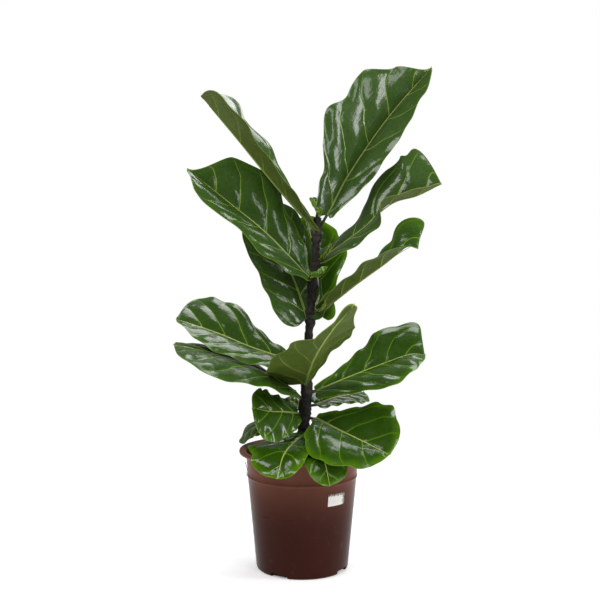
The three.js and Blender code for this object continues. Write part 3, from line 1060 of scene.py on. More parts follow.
@dataclass(frozen=True)
class PaperFinish:
    """A bare, slightly soiled coated paper."""

    paper: Colour = tint(214, 211, 206)
    worn: Colour = tint(112, 106, 100)
    fibre_scale: float = 1500.0
    stain_scale: float = 210.0
    depth: float = 0.00018

    def make(self) -> bpy.types.Material:
        """Builds the material.

        Returns:
            The material of the sticker.
        """
        graph = Graph.material("bare_paper")
        here = graph.here()
        fibre = graph.noise(here, self.fibre_scale, 4.0)
        stain = graph.noise(here, self.stain_scale, 5.0, 0.65)
        wear, _, _ = graph.note(WEAR)
        worn = (wear * 1.3 + (stain - 0.5) * 1.4).step(0.45, 0.9)
        body = graph.mix(stain.step(0.5, 0.8) * 0.25, self.paper, self.worn)
        body = graph.mix(worn * 0.85, body, self.worn)
        normal = graph.bump(fibre * 0.3 + worn * -0.8 + stain * 0.4, self.depth, 0.8)
        return graph.surface({"Base Color": body, "Roughness": 0.42 + worn * 0.3, "Normal": normal})


# ---------------------------------------------------------------- the leaves' shapes


@dataclass(frozen=True)
class LeafForm:
    """One leaf. Lists run evenly from the base to the tip, and left and right are seen from the stalk.

    Attributes:
        name: the leaf's name.
        node: the height on the stem where its stalk grows.
        midrib: points of the midrib.
        left: half widths of the left side.
        right: half widths of the right side.
        roll: the blade's turn about its midrib.
        fold_left: how far the left side is folded up.
        fold_right: how far the right side is folded up.
        waist: 0 for a full outline and 1 for a waisted one.
        tone: 0 for an old, dark leaf and 1 for a young, fresh one.
        ripple: how much the half width varies, as a share of it.
        wave: how far the margin rises and falls.
        blister: the height of the bulges towards the tip.
        relief: the strength of the fields between veins, as a share of the usual.
        veins: the number of lateral veins, as a share of the usual.
    """

    name: str
    node: float
    midrib: tuple[Point, ...]
    left: Numbers
    right: Numbers
    roll: Numbers
    fold_left: Numbers
    fold_right: Numbers
    waist: float
    tone: float
    ripple: float = 0.035
    wave: float = 2.0
    blister: float = 0.0
    relief: float = 1.0
    veins: float = 1.0


LEAVES = (
    LeafForm(
        "crown_right", 672, ((52, 5, 712), (97, 45, 796), (177, 85, 912), (269, 100, 1019)),
        (60, 72, 116, 138, 108, 104, 68, 4), (24, 62, 84, 80, 66, 50, 30),
        (-80, -76, -65), (10, 6, 5), (60, 72, 64), 0.1, 0.3, ripple=0.03,
    ),
    LeafForm(
        "crown_left", 664, ((27, -8, 682), (-48, -15, 765), (-128, -15, 861), (-199, -10, 944)),
        (30, 80, 80, 80, 85), (25, 50, 72, 72, 190), (5, 3, -5), (20, 18, 16), (35, 42, 35), 0.4, 0.2,
    ),
    LeafForm(
        "upper_left", 572, ((12, -12, 589), (-68, -20, 672), (-142, -25, 733), (-226, -25, 800)),
        (30, 70, 94, 76, 58, 66, 64, 20), (20, 60, 74, 106, 102, 88, 10),
        (24, 30, 30), (-6, -2, 2), (46, 41, 40), 0.1, 0.45,
    ),
    LeafForm(
        "upper_left_back", 498, ((10, -8, 505), (-19, 25, 586), (-62, 60, 665), (-96, 85, 729)),
        (92, 88, 70, 60, 56), (55, 70, 75),
        (20, 25, 30), (15, 5, 0), (30, 25, 20), 0, 0.35, ripple=0.015, wave=1.0,
    ),
    LeafForm(
        "upper_back", 506, ((38, 14, 507), (35, 80, 567), (25, 130, 639), (9, 165, 712)),
        (72,), (70, 58, 66, 72, 58, 40), (0,), (15, 10, 5), (15, 10, 5), 0.9, 0.9,
    ),
    LeafForm(
        "upper_right", 612,
        ((42, 5, 626), (86, 8, 658), (128, 10, 690), (172, 12, 732), (225, 8, 748), (278, 0, 772)),
        (60, 64, 56, 54, 76, 100, 165), (60, 70, 66, 34, 26, 28), (-15, -15, -15, -10, -30, -30),
        (8, 5, 14, 45, 42, 25), (0, -8, -5, 40, 70, 60), 0.6, 0.3,
    ),
    LeafForm(
        "mid_right", 516, ((40, -8, 523), (104, -30, 574), (167, -50, 620), (202, -60, 647), (224, -64, 644)),
        (60, 50, 42, 42, 52, 130), (40, 52, 54, 58, 60), (5, 0, -5), (32, 34, 48), (30, 22, 4), 0.4, 0.55,
    ),
    LeafForm(
        "mid_left", 398, ((-18, 0, 418), (-99, -5, 446), (-169, -5, 475), (-252, -5, 503)),
        (60, 85, 85, 80, 58, 26), (24, 42, 64, 86, 98, 108, 140), (26, 26, 22), (4,), (18, 18, 8), 0.2, 0.5,
    ),
    LeafForm(
        "mid_left_low", 333, ((-14, -15, 361), (-87, -40, 409), (-164, -60, 439), (-248, -75, 458)),
        (45, 74, 96, 112, 130), (50, 75, 75), (28, 28, 18), (2, 2, 5), (-38, -26, -12), 0.1, 0.55,
    ),
    LeafForm(
        "front", 366, ((6, -18, 374), (13, -85, 410), (27, -160, 452), (53, -215, 499), (91, -245, 548)),
        (46, 74, 80, 60, 34), (92, 104, 92, 56, 18, 8, 20),
        (0,), (45, 40, 30, 25, 25), (10, 0, 20, 35, 45), 0, 0.5,
    ),
    LeafForm(
        "low_right", 354, ((30, 0, 359), (97, 15, 385), (168, 25, 411), (219, 29, 428), (251, 30, 427)),
        (20, 30, 44, 58, 76, 94, 150), (60, 80, 98, 96, 84, 76),
        (-18, -18, -15), (30, 30, 22), (0, 0, 4), 0.2, 0.6,
    ),
    LeafForm(
        "low_right_back", 326, ((28, 15, 328), (68, 50, 337), (100, 80, 338), (129, 105, 339)),
        (50,), (45,), (-20,), (10,), (10, 5, 0), 0.3, 0.7,
    ),
    LeafForm(
        "drooping_right", 304, ((28, -15, 305), (74, -60, 289), (117, -95, 274), (166, -125, 254)),
        (20, 46, 76, 104, 98, 88, 84), (20, 84, 116, 98, 72, 56),
        (-22, -22, -28), (25, 15, 5), (10, 5, 0), 0, 0.75, blister=1.2, relief=0.4, veins=0.72,
    ),
    LeafForm(
        "crinkled_left", 312, ((-8, -5, 313), (-34, -35, 321), (-63, -60, 326), (-97, -78, 336)),
        (30, 54, 62, 68, 84), (40, 48, 54, 58), (30, 30, 30), (-30, -30, -25), (20,), 0, 0.65,
        ripple=0.03, wave=3.0, blister=1.0, relief=0.5, veins=0.7,
    ),
    LeafForm(
        "small_left_back", 320, ((-2, 10, 319), (-17, 25, 330), (-31, 40, 332), (-44, 50, 328)),
        (22,), (22,), (20,), (0,), (0,), 0.5, 0.4, wave=0.8,
    ),
    LeafForm(
        "drooping_front", 274, ((6, -20, 275), (-22, -75, 262), (-37, -126, 250), (-47, -158, 216)),
        (50, 60, 52, 46, 46), (24, 50, 80, 62, 58), (8, 5, 0), (12, 8, 0), (0,), 0, 0.85,
        blister=1.1, relief=0.45, veins=0.75,
    ),
    LeafForm(
        "hanging_front", 255, ((23, -40, 254), (34, -95, 249), (42, -129, 243), (52, -139, 198)),
        (48,), (48, 48, 40, 30), (0,), (0,), (0,), 0, 0.75, relief=0.4, veins=0.8,
    ),
    LeafForm(
        "rim_left", 284, ((-4, 10, 288), (-62, 30, 286), (-103, 40, 274), (-128, 35, 244)),
        (40,), (40,), (15,), (0, -10, -10), (0,), 0.3, 0.4,
    ),
)

# The small curled leaves and lobes that sit close to the stem. The solid part leaves them out.
LEAFLETS = (
    LeafForm(
        "crown_lobe", 690, ((38, -9, 713), (33, -14, 722), (27, -15, 734), (22, -10, 745)),
        (18,), (15,), (80,), (14,), (10,), 0, 0.5, ripple=0.03, wave=0.8,
    ),
    LeafForm(
        "node_leaflet", 590, ((17, -12, 587), (27, -22, 588), (40, -26, 594), (50, -21, 608)),
        (16,), (13,), (-30,), (48,), (34,), 0, 0.8, wave=0.8,
    ),
    LeafForm(
        "side_leaflet", 618, ((36, -8, 622), (44, -15, 628), (54, -15, 640), (58, -10, 652)),
        (13,), (13,), (-25,), (44,), (30,), 0, 0.85, wave=0.8,
    ),
    LeafForm(
        "low_leaflet", 522, ((30, -12, 520), (36, -20, 522), (44, -20, 530), (47, -14, 540)),
        (12,), (12,), (-25,), (44,), (30,), 0, 0.8, wave=0.8,
    ),
)

# The margin from stalk to tip: share of the way round it, then the share along the midrib, the half width
# of a full blade and the half width of a waisted one.
MARGIN = (
    (0, 0, 0, 0), (0.06, -0.055, 0.32, 0.16), (0.14, -0.03, 0.62, 0.34), (0.22, 0.06, 0.76, 0.43),
    (0.33, 0.2, 0.8, 0.46), (0.45, 0.36, 0.86, 0.58), (0.58, 0.53, 0.95, 0.84), (0.7, 0.69, 1, 1),
    (0.8, 0.83, 0.92, 0.95), (0.89, 0.945, 0.62, 0.68), (0.95, 0.985, 0.34, 0.38), (1, 1, 0, 0),
)
MARGIN_ALONG, MARGIN_FULL, MARGIN_WAISTED = (
    Smooth([row[0] for row in MARGIN], [row[i] for row in MARGIN]) for i in (1, 2, 3)
)

# Where the lateral veins leave the midrib, as shares of its length.
LATERALS = Smooth((-0.16, 0.05, 0.24, 0.44, 0.64, 0.84), range(6))


@dataclass(frozen=True)
class BladePoints:
    """Points of a blade's middle surface with their places on the flattened blade.

    Attributes:
        points: the points in space.
        along: shares of the midrib's length.
        across: distances from the midrib, negative on the left.
        half: the half width there.
        reach: the share of the way out to the margin.
    """

    points: np.ndarray
    along: np.ndarray
    across: np.ndarray
    half: np.ndarray
    reach: np.ndarray


class Blade:
    """The middle surface of a blade, as the solid part has it, with a rounded trough at the midrib."""

    STATIONS = 60
    TROUGH = 3.5
    ARCH = 0.05
    FULL_BASE = 75.0
    TIP_BUNCHING = 1.9
    MARGIN_PULL = 1.15
    RIPPLE_WAVES = 3.3
    RIPPLE_OFFSET = 0.4
    WAVES_PER_RIPPLE = 1.35
    WAVE_OFFSET = 0.2

    def __init__(self, form: LeafForm) -> None:
        """Draws the midrib and carries the blade's level direction along it.

        Args:
            form: the leaf's shape.
        """
        self.form = form
        self.midrib = Path(form.midrib)
        self.stations, self.rights = self.midrib.carried(self.midrib.start_side(), self.STATIONS)

    def frame_at(self, share: np.ndarray) -> tuple[np.ndarray, np.ndarray, np.ndarray]:
        """The midrib's points and directions.

        Args:
            share: shares of the midrib's length, where those below 0 lie behind its start.

        Returns:
            The points, the directions to the right and the directions up.
        """
        u = np.clip(share, 0, 1)
        direction = self.midrib.direction(u)
        centre = self.midrib.point(u) + direction * (np.minimum(share, 0) * self.midrib.length)[:, None]
        right = resampled(self.rights, self.stations, u)
        right = unit(right - direction * dot(right, direction))
        up = unit(np.cross(right, direction))
        roll = np.radians(spread(self.form.roll, u))[:, None]
        return centre, right * np.cos(roll) + up * np.sin(roll), up * np.cos(roll) - right * np.sin(roll)

    def at(self, around: np.ndarray, side: np.ndarray) -> BladePoints:
        """Points of the blade.

        Args:
            around: shares of the way from stalk to tip, followed along the margin.
            side: -1 at the left margin, 0 on the midrib and 1 at the right margin.

        Returns:
            The points with their places on the flattened blade.
        """
        form = self.form
        reach = np.abs(side)
        rightward = side > 0
        pull = reach**self.MARGIN_PULL
        margin = MARGIN_ALONG.at(around)
        base = np.where(rightward, form.right[0], form.left[0])
        margin = np.where(margin < 0, margin * np.clip(base / self.FULL_BASE, 0, 1), margin)
        along = around**self.TIP_BUNCHING * (1 - pull) + margin * pull
        wave = self.RIPPLE_WAVES * along + rightward * self.RIPPLE_OFFSET
        ripple = 1 + form.ripple * np.sin(FULL_TURN * wave)
        half = np.where(rightward, spread(form.right, along), spread(form.left, along)) * ripple
        profile = MARGIN_FULL.at(around) * (1 - form.waist) + MARGIN_WAISTED.at(around) * form.waist
        across = np.maximum(profile, 0) * reach * half
        fold = np.radians(np.where(rightward, spread(form.fold_right, along), spread(form.fold_left, along)))
        centre, right, up = self.frame_at(along)
        outward = np.where(rightward[:, None], right, -right)
        rounded = np.sqrt(across**2 + self.TROUGH**2) - self.TROUGH
        lift = self.ARCH * half * np.sin(math.pi * reach) * profile
        swing = np.sin(FULL_TURN * (self.WAVES_PER_RIPPLE * wave + self.WAVE_OFFSET))
        lift += form.wave * reach**3 * swing * ease(along, -0.05, 0.12)
        points = (
            centre
            + outward * (across * np.cos(fold) - lift * np.sin(fold))[:, None]
            + up * (rounded * np.sin(fold) + lift * np.cos(fold))[:, None]
        )
        return BladePoints(points, along, np.sign(side) * across, half * np.maximum(profile, 0), reach)


@dataclass
class Leaf:
    """One leaf: a blade with sunken veins and quilted fields, and the stalk that runs on as its midrib.

    Its finishes are those of the upper face, the underside and the stalk.
    """

    form: LeafForm
    stem: "Stem"
    finishes: Sequence[bpy.types.Material]
    seed: int
    columns: int = 150
    rows: int = 84
    thickness: float = 0.8
    stalk_radius: float = 2.9
    stalk_sides: int = 14
    stalk_rings: int = 110
    solid: bool = True
    vein_slant: float = 0.78
    vein_stagger: float = 0.045
    field_rise: float = 2.4
    usual_half: float = 80.0
    groove_depth: float = 0.55
    groove_width: float = 1.9
    trough_depth: float = 1.2
    trough_width: float = 3.2
    rib_shares: Numbers = (0.02, 0.1, 0.2, 0.35, 0.5, 0.65, 0.8, 0.93)
    rib_taper: Numbers = (0.95, 0.85, 0.76, 0.62, 0.5, 0.38, 0.27, 0.14)
    rib_backing: float = 1.1
    foot_length: float = 5.0
    blade: Blade = field(init=False)

    def __post_init__(self) -> None:
        """Draws the blade's middle surface."""
        self.blade = Blade(self.form)

    def flattened(self, made: BladePoints) -> np.ndarray:
        """The places of a blade's points on the flattened blade, with a third part of 0."""
        along = made.along * self.blade.midrib.length
        return np.stack([along, made.across, np.zeros_like(along)], axis=-1)

    def count(self, made: BladePoints) -> tuple[np.ndarray, np.ndarray]:
        """Counts the lateral veins.

        Args:
            made: the blade's points.

        Returns:
            The vein count, a whole number on a vein, and the millimetres from one vein to the next.
        """
        length = self.blade.midrib.length
        slant = self.vein_slant - 0.1 * np.clip(made.along, 0, 1)
        shift = np.where(made.across > 0, self.vein_stagger, 0.0)
        sway = Grain(self.seed + 30, 55.0, 0.014).at(self.flattened(made)) + 0.02 * math.sin(self.seed)
        origin = made.along + shift + sway - np.abs(made.across) / length * slant - 0.08 * made.reach**3
        nudge = 0.01
        steepness = (LATERALS.at(origin + nudge) - LATERALS.at(origin - nudge)) / (2 * nudge)
        veins = self.form.veins
        return LATERALS.at(origin) * veins, length / (steepness * veins * np.sqrt(1 + slant**2))

    def relief(self, made: BladePoints, count: np.ndarray, pitch: np.ndarray) -> np.ndarray:
        """The blade's relief in millimetres: sunken veins, fields that bulge between them, fine puckers.

        Args:
            made: the blade's points.
            count: the lateral vein count.
            pitch: millimetres from vein to vein.

        Returns:
            The height of each point off the middle surface.
        """
        form = self.form
        inner = ease(1 - made.reach, 0, 0.22)
        between = np.abs(count - np.rint(count))
        rise = self.field_rise * form.relief * (made.half / self.usual_half) * np.sin(math.pi * between)
        rise *= inner * ease(made.reach, 0.02, 0.3)
        groove = -self.groove_depth * np.exp(-((between * pitch / self.groove_width) ** 2))
        groove *= ease(1 - made.reach, 0.05, 0.3)
        trough = -self.trough_depth * np.exp(-((made.across / self.trough_width) ** 2)) * (1.1 - made.along)
        flat = self.flattened(made)
        broad = Grain(self.seed + 50, 42.0, 0.9).at(flat) * form.relief
        pucker = Grain(self.seed, 18.0, 0.16).at(flat) + broad
        blister = Grain(self.seed + 90, 26.0).at(flat).clip(0, 1) * form.blister * ease(made.along, 0.5, 0.8)
        uneven = pucker * ease(made.reach, 0.0, 0.25) + blister
        return rise + groove + trough + uneven * (0.35 + 0.65 * inner)

    def blade_mesh(self) -> bpy.types.Object:
        """Models the blade.

        Returns:
            The blade, whose faces carry the first two materials.
        """
        sheet, x, y = Bench.sheet(f"{self.form.name}_leaf", self.columns, self.rows)
        for finish in self.finishes:
            sheet.data.materials.append(finish)
        around = 0.35 * x + 0.65 * (0.5 - 0.5 * np.cos(math.pi * x))
        made = self.blade.at(around, 1 - 2 * y)
        count, pitch = self.count(made)
        Bench.place(sheet, made.points)
        Bench.unwrap(sheet, BLADE_MAP, self.flattened(made)[:, :2] / MAP_UNIT)
        Bench.note(sheet, VEINS, made.along, count, made.reach)
        Bench.note(sheet, GAUGE, self.form.tone, pitch, made.half * (1 - made.reach))
        # The weld leaves fewer vertices, so the heights ride through it in an attribute.
        Bench.note(sheet, ROD, self.relief(made, count, pitch))
        Bench.weld(sheet, closed=False)
        Bench.raise_by(sheet, Bench.noted(sheet, ROD)[:, 0])
        Bench.modify(
            sheet, "SOLIDIFY", thickness=self.thickness * MM, offset=-1, use_even_offset=False,
            material_offset=1, material_offset_rim=0,
        )
        return sheet

    def stalk_mesh(self) -> bpy.types.Object:
        """Models the stalk and the rib that it runs on into.

        Returns:
            The rod, which starts in the stem and ends near the blade's tip.
        """
        shares = np.array(self.rib_shares)
        radii = self.stalk_radius * np.array(self.rib_taper)
        centre, _, up = self.blade.frame_at(shares)
        backing = centre - up * (radii * 0.55 + self.rib_backing)[:, None]
        root = self.stem.at(self.form.node)
        path = Path(np.vstack([root, backing]))
        start = np.linalg.norm(backing[0] - root) / path.length
        along = np.linspace(0, 1, self.stalk_rings)
        past_bark = (along * path.length - self.stem.usual_radius) / self.foot_length
        foot = self.stalk_radius * (1.0 + 0.4 * np.exp(-(past_bark**2)))
        places = np.concatenate([[0, start], start + (1 - start) * shares[1:] / shares[-1]])
        rib = np.interp(along, places, np.concatenate([[radii[0]], radii]))
        radius = np.where(along < start, np.maximum(foot, rib), rib)
        name = f"{self.form.name}_stalk"
        made = Bench.tube(name, path, along, radius, self.stalk_sides, path.start_side())
        Bench.note(made, GAUGE, start)
        return made

    def build(self) -> None:
        """Models, dresses and fixes the leaf."""
        sheet = self.blade_mesh()
        faces = len(sheet.data.polygons)
        Bench.join(sheet, self.stalk_mesh())
        index = np.zeros(len(sheet.data.polygons), int)
        sheet.data.polygons.foreach_get("material_index", index)
        index[faces:] = len(self.finishes) - 1
        Bench.finish(sheet, Slot.LEAF, [f"leaf_{self.form.name}"] if self.solid else [], self.finishes)
        sheet.data.polygons.foreach_set("material_index", index)


# ---------------------------------------------------------------- stem, bud, pot, soil, label and root


@dataclass
class Stem:
    """The woody stem: a tapering shaft that swells and is scarred where leaves are attached."""

    axis: tuple[Point, ...] = (
        (-1, 0, 158), (0, 0, 202), (3, 0, 278), (5, 0, 314), (9, 0, 359), (11, 0, 420), (13, 0, 460),
        (17, 0, 520), (22, 0, 581), (27, 0, 617), (27, 0, 653), (28, 0, 676), (31, 0, 704),
    )
    foot_radius: float = 12.5
    foot_height: float = 25.0
    low_radius: float = 9.6
    usual_radius: float = 7.5
    top_radius: float = 6.4
    swell: float = 3.0
    swell_length: float = 9.0
    scar: float = 0.7
    scar_length: float = 1.3
    scar_rise: float = 7.0
    soil_top: float = 205.0
    rings: int = 420
    sides: int = 44
    knobs: Grain = Grain(13, 16.0, 1.3)
    ridges: Grain = Grain(11, 8.0, 0.8)
    flakes: Grain = Grain(12, 3.2, 0.6)
    buried: tuple[float, float] = (170.0, 215.0)
    nodes: Numbers = tuple(form.node for form in LEAVES)
    finish: BarkFinish = BarkFinish()
    path: Path = field(init=False)

    def __post_init__(self) -> None:
        """Draws the stem's middle line."""
        self.path = Path(self.axis)

    def at(self, height: float) -> np.ndarray:
        """The point of the stem's middle line at a height."""
        reach = float(np.interp(height, self.path.samples[:, 2], self.path.reach))
        return self.path.point(np.array(reach / self.path.length))

    def radius_at(self, height: np.ndarray) -> np.ndarray:
        """The stem's radius with its swellings and ring scars.

        Args:
            height: the heights to read.

        Returns:
            One radius for each height.
        """
        share = np.clip((height - self.soil_top) / (self.axis[-1][2] - self.soil_top), 0, 1)
        taper = self.low_radius * (1 - share) + self.top_radius * share
        above = np.maximum(height - self.soil_top, 0)
        foot = (self.foot_radius - self.low_radius) * np.exp(-above / self.foot_height)
        offsets = height[:, None] - np.array(self.nodes)
        swell = self.swell * np.exp(-((offsets / self.swell_length) ** 2)).max(axis=1)
        scar = self.scar * np.exp(-(((offsets - self.scar_rise) / self.scar_length) ** 2)).max(axis=1)
        return taper + foot + swell + scar

    def build(self) -> None:
        """Models, dresses and fixes the stem."""
        shares = np.linspace(0, 1, self.rings)
        radii = self.radius_at(self.path.point(shares)[:, 2])
        shaft = Bench.tube("woody_stem", self.path, shares, radii, self.sides, SIDEWAYS)
        points = Bench.points(shaft)
        ridges = self.ridges.at(points * np.array([1, 1, 0.4]))
        flakes = np.abs(self.flakes.at(points * np.array([1, 1, 0.6])))
        bark = self.knobs.at(points) + ridges + flakes
        Bench.raise_by(shaft, bark * ease(points[:, 2], *self.buried))
        Bench.finish(shaft, Slot.BARK, ["stem"], [self.finish.make()])


@dataclass
class Bud:
    """The closed bud at the stem's top: two pointed scales wrapped round each other."""

    stem: Stem
    radius: float = 5.2
    lean: float = 6.0
    sides: int = 48
    lap: float = 0.45
    twist: float = 0.07
    fibre: float = 0.12
    fibres: int = 14
    flatness: float = 0.86
    profile: tuple[tuple[float, float], ...] = (
        (0, -3), (0.8, -2.4), (0.98, 1), (1.0, 4), (0.94, 7), (0.82, 10.5), (0.62, 14.5), (0.4, 18),
        (0.2, 20.8), (0.07, 22.4), (0, 23),
    )
    finish: SheathFinish = SheathFinish()

    def build(self) -> None:
        """Models, dresses and fixes the bud."""
        bud = Bench.turned("tip_bud", [(share * self.radius, z) for share, z in self.profile], self.sides)
        Bench.modify(bud, "SUBSURF", levels=1, render_levels=1)
        x, y, z = Bench.points(bud).T
        turn = np.arctan2(y, x) + z * self.twist
        lap = self.lap * (((turn / FULL_TURN) % 0.5) * 2 - 0.5)
        fibres = self.fibre * np.sin(turn * self.fibres)
        grow = 1 + (lap + fibres) / self.radius * ease(np.hypot(x, y), 0.2, 2.0)
        x, y = x * grow, y * (grow * self.flatness)
        tilt = math.radians(self.lean)
        leaning = [x * math.cos(tilt) + z * math.sin(tilt), y, z * math.cos(tilt) - x * math.sin(tilt)]
        Bench.place(bud, np.stack(leaning, axis=-1) + self.stem.path.samples[-1])
        Bench.finish(bud, Slot.BUD, ["bud"], [self.finish.make()])


@dataclass
class Pot:
    """The moulded plant pot: tapered wall, bead, collar, out-turned rim and four drain notches."""

    base_radius: float = 93.0
    corner: float = 5.0
    wall: float = 2.6
    floor: float = 3.0
    bead_height: float = 186.0
    bead_radius: float = 110.0
    bead_width: float = 1.5
    collar_top: float = 226.0
    collar_radius: float = 112.6
    height: float = 240.0
    rim_radius: float = 127.0
    steps: int = 192
    edge: float = 0.5
    edge_angle: float = 24.0
    notch_angle: float = -120.0
    notch_width: float = 37.0
    notch_height: float = 8.0
    notch_reach: float = 12.0
    notch_edge: float = 1.6
    notch_count: int = 4
    finish: PotFinish = PotFinish()

    def wall_radius(self, height: np.ndarray | float) -> np.ndarray | float:
        """The outer radius of the wall below the bead."""
        slope = (self.bead_radius - self.base_radius) / (self.bead_height - self.corner)
        return self.base_radius + (height - self.corner) * slope

    def outside(self) -> list[tuple[float, float]]:
        """The outline from the underside's middle up to the rim's top.

        Returns:
            (radius, height) points: the base and its corner, the wall, the bead, the collar, the flange
            that turns out above it, and the rim.
        """
        base, neck, collar, rim = self.base_radius, self.bead_radius, self.collar_radius, self.rim_radius
        bead, top, height = self.bead_height, self.collar_top, self.height
        return [
            (0, 0), (base - 12, 0), (base - 5, 0), (base - 2.4, 0.6), (base - 0.6, 2.4), (base, self.corner),
            *((float(self.wall_radius(h)), h) for h in (30, 60, 90, 120, 150, 172)),
            (neck - 0.1, bead - 1), (neck + 0.9, bead + 0.2), (neck + 1.4, bead + 1.2),
            (neck + self.bead_width, bead + 2.4), (neck + 1.35, bead + 3.8), (neck + 0.9, bead + 5),
            (neck + 0.6, bead + 6.5), (neck + 1.0, bead + 15), (collar - 0.8, bead + 27), (collar, top - 2),
            (collar + 0.8, top + 2), (collar + 3, top + 5.6), (collar + 6.2, top + 7.2),
            (collar + 9.6, top + 7.0), (rim - 2.2, top + 6.6), (rim - 0.6, top + 7.2), (rim, top + 9),
            (rim - 0.1, height - 2), (rim - 0.8, height - 0.6), (rim - 2.4, height),
        ]

    def inside(self) -> list[tuple[float, float]]:
        """The outline from the rim's top down to the floor's middle.

        Returns:
            (radius, height) points.
        """
        collar, top, height = self.collar_radius, self.collar_top, self.height
        neck, foot = self.bead_radius - self.wall, self.base_radius - self.wall
        return [
            (collar + 8, height - 0.3), (collar + 3.4, height - 0.9), (collar + 0.6, height - 2.6),
            (collar - 1.4, height - 6), (collar - self.wall, top),
            (neck + 0.6, self.bead_height + 6), (neck, self.bead_height - 2), (neck - 7, 110),
            (float(self.wall_radius(14)) - self.wall, 14), (foot - 1, 6), (foot - 4.5, self.floor),
            (0, self.floor),
        ]

    def notch(self, angle: float) -> bpy.types.Object:
        """Adds the block that cuts one drain notch.

        Args:
            angle: where it stands round the pot.

        Returns:
            The block.
        """
        turn = math.radians(angle)
        centre = (self.base_radius * math.cos(turn) * MM, self.base_radius * math.sin(turn) * MM, 0)
        size = (2 * self.notch_reach * MM, self.notch_width * MM, 2 * self.notch_height * MM)
        cube = bpy.ops.mesh.primitive_cube_add
        block = Bench.add("drain_cutter", cube, size=1, location=centre, rotation=(0, 0, turn), scale=size)
        Bench.modify(block, "BEVEL", width=self.notch_edge * MM, segments=3)
        return block

    def build(self) -> None:
        """Models, dresses and fixes the pot."""
        pot = Bench.turned("plant_pot", self.outside() + self.inside(), self.steps)
        Bench.modify(
            pot, "BEVEL", width=self.edge * MM, segments=2, limit_method="ANGLE",
            angle_limit=math.radians(self.edge_angle),
        )
        for i in range(self.notch_count):
            block = self.notch(self.notch_angle + 360 * i / self.notch_count)
            Bench.modify(pot, "BOOLEAN", operation="DIFFERENCE", object=block, solver="EXACT")
            bpy.data.objects.remove(block)
        Bench.finish(pot, Slot.POT, ["pot"], [self.finish.make()])


@dataclass
class Soil:
    """The root ball's soil: a mounded, crumbly top inside the pot's wall."""

    pot: Pot
    top: float = 205.0
    mound: float = 5.0
    gap: float = 0.3
    rings: int = 52
    steps: int = 144
    crumbs: int = 340
    crumb_reach: float = 101.0
    crumb_sizes: tuple[float, float] = (1.0, 3.4)
    crumb_seed: int = 23
    hollows: Grain = Grain(21, 24.0, 1.5)
    clods: Grain = Grain(22, 7.0, 0.8)
    finish: SoilFinish = SoilFinish()

    def ground(self, x: np.ndarray, y: np.ndarray) -> np.ndarray:
        """The height of the soil's surface.

        Args:
            x: places along X.
            y: places along Y.

        Returns:
            One height for each place.
        """
        edge = self.pot.bead_radius - self.pot.wall
        mounded = self.top + self.mound * (1 - (np.hypot(x, y) / edge) ** 2)
        flat = np.stack([x, y, np.zeros_like(x)], axis=-1)
        return mounded + self.hollows.at(flat) + self.clods.at(flat)

    def body(self) -> bpy.types.Object:
        """Models the root ball, which fills the pot with a small gap to its wall.

        Returns:
            The closed object.
        """
        pot, top, gap = self.pot, self.top, self.gap
        rim = pot.bead_radius + 0.8 - pot.wall - gap
        sides = [
            (0.0, pot.floor + gap), (pot.base_radius - pot.wall - 6, pot.floor + gap),
            (pot.wall_radius(14) - pot.wall - gap, 14.0),
            (pot.bead_radius - pot.wall - gap - 0.6, pot.bead_height - 2), (rim, top - 6), (rim, top - 1),
        ]
        surface = [(rim * (1 - ring / self.rings), top) for ring in range(1, self.rings + 1)]
        made = Bench.turned("potting_soil", sides + surface, self.steps)
        points = Bench.points(made)
        upper = (points[:, 2] > top - 0.5) & (np.hypot(points[:, 0], points[:, 1]) < rim - 1)
        points[upper, 2] = self.ground(points[upper, 0], points[upper, 1])
        Bench.place(made, points)
        return made

    def loose(self) -> bpy.types.Object:
        """Models the loose crumbs: one lump, copied and scattered over the surface.

        Returns:
            All crumbs as one object.
        """
        draw = np.random.default_rng(self.crumb_seed)
        first = Bench.add("soil_crumbs", bpy.ops.mesh.primitive_ico_sphere_add, subdivisions=1, radius=1)
        shape = Bench.points(first) * MM
        copies = [first]
        for _ in range(self.crumbs - 1):
            copy = first.copy()
            copy.data = first.data.copy()
            bpy.context.collection.objects.link(copy)
            copies.append(copy)
        for copy in copies:
            reach, turn = self.crumb_reach * math.sqrt(draw.uniform(0.02, 1)), draw.uniform(0, FULL_TURN)
            size = draw.uniform(*self.crumb_sizes) * draw.uniform(0.7, 1.3, 3)
            x, y = reach * math.cos(turn), reach * math.sin(turn)
            z = float(self.ground(np.array([x]), np.array([y]))[0]) + size[2] * 0.35
            lumps = 1 + draw.uniform(-0.22, 0.22, (len(shape), 1))
            Bench.place(copy, shape * size * lumps + np.array([x, y, z]))
        Bench.join(*copies)
        return first

    def build(self) -> None:
        """Models, dresses and fixes the soil and its loose crumbs."""
        finish = self.finish.make()
        Bench.finish(self.body(), Slot.SOIL, ["soil"], [finish])
        Bench.finish(self.loose(), Slot.SOIL, [], [finish])


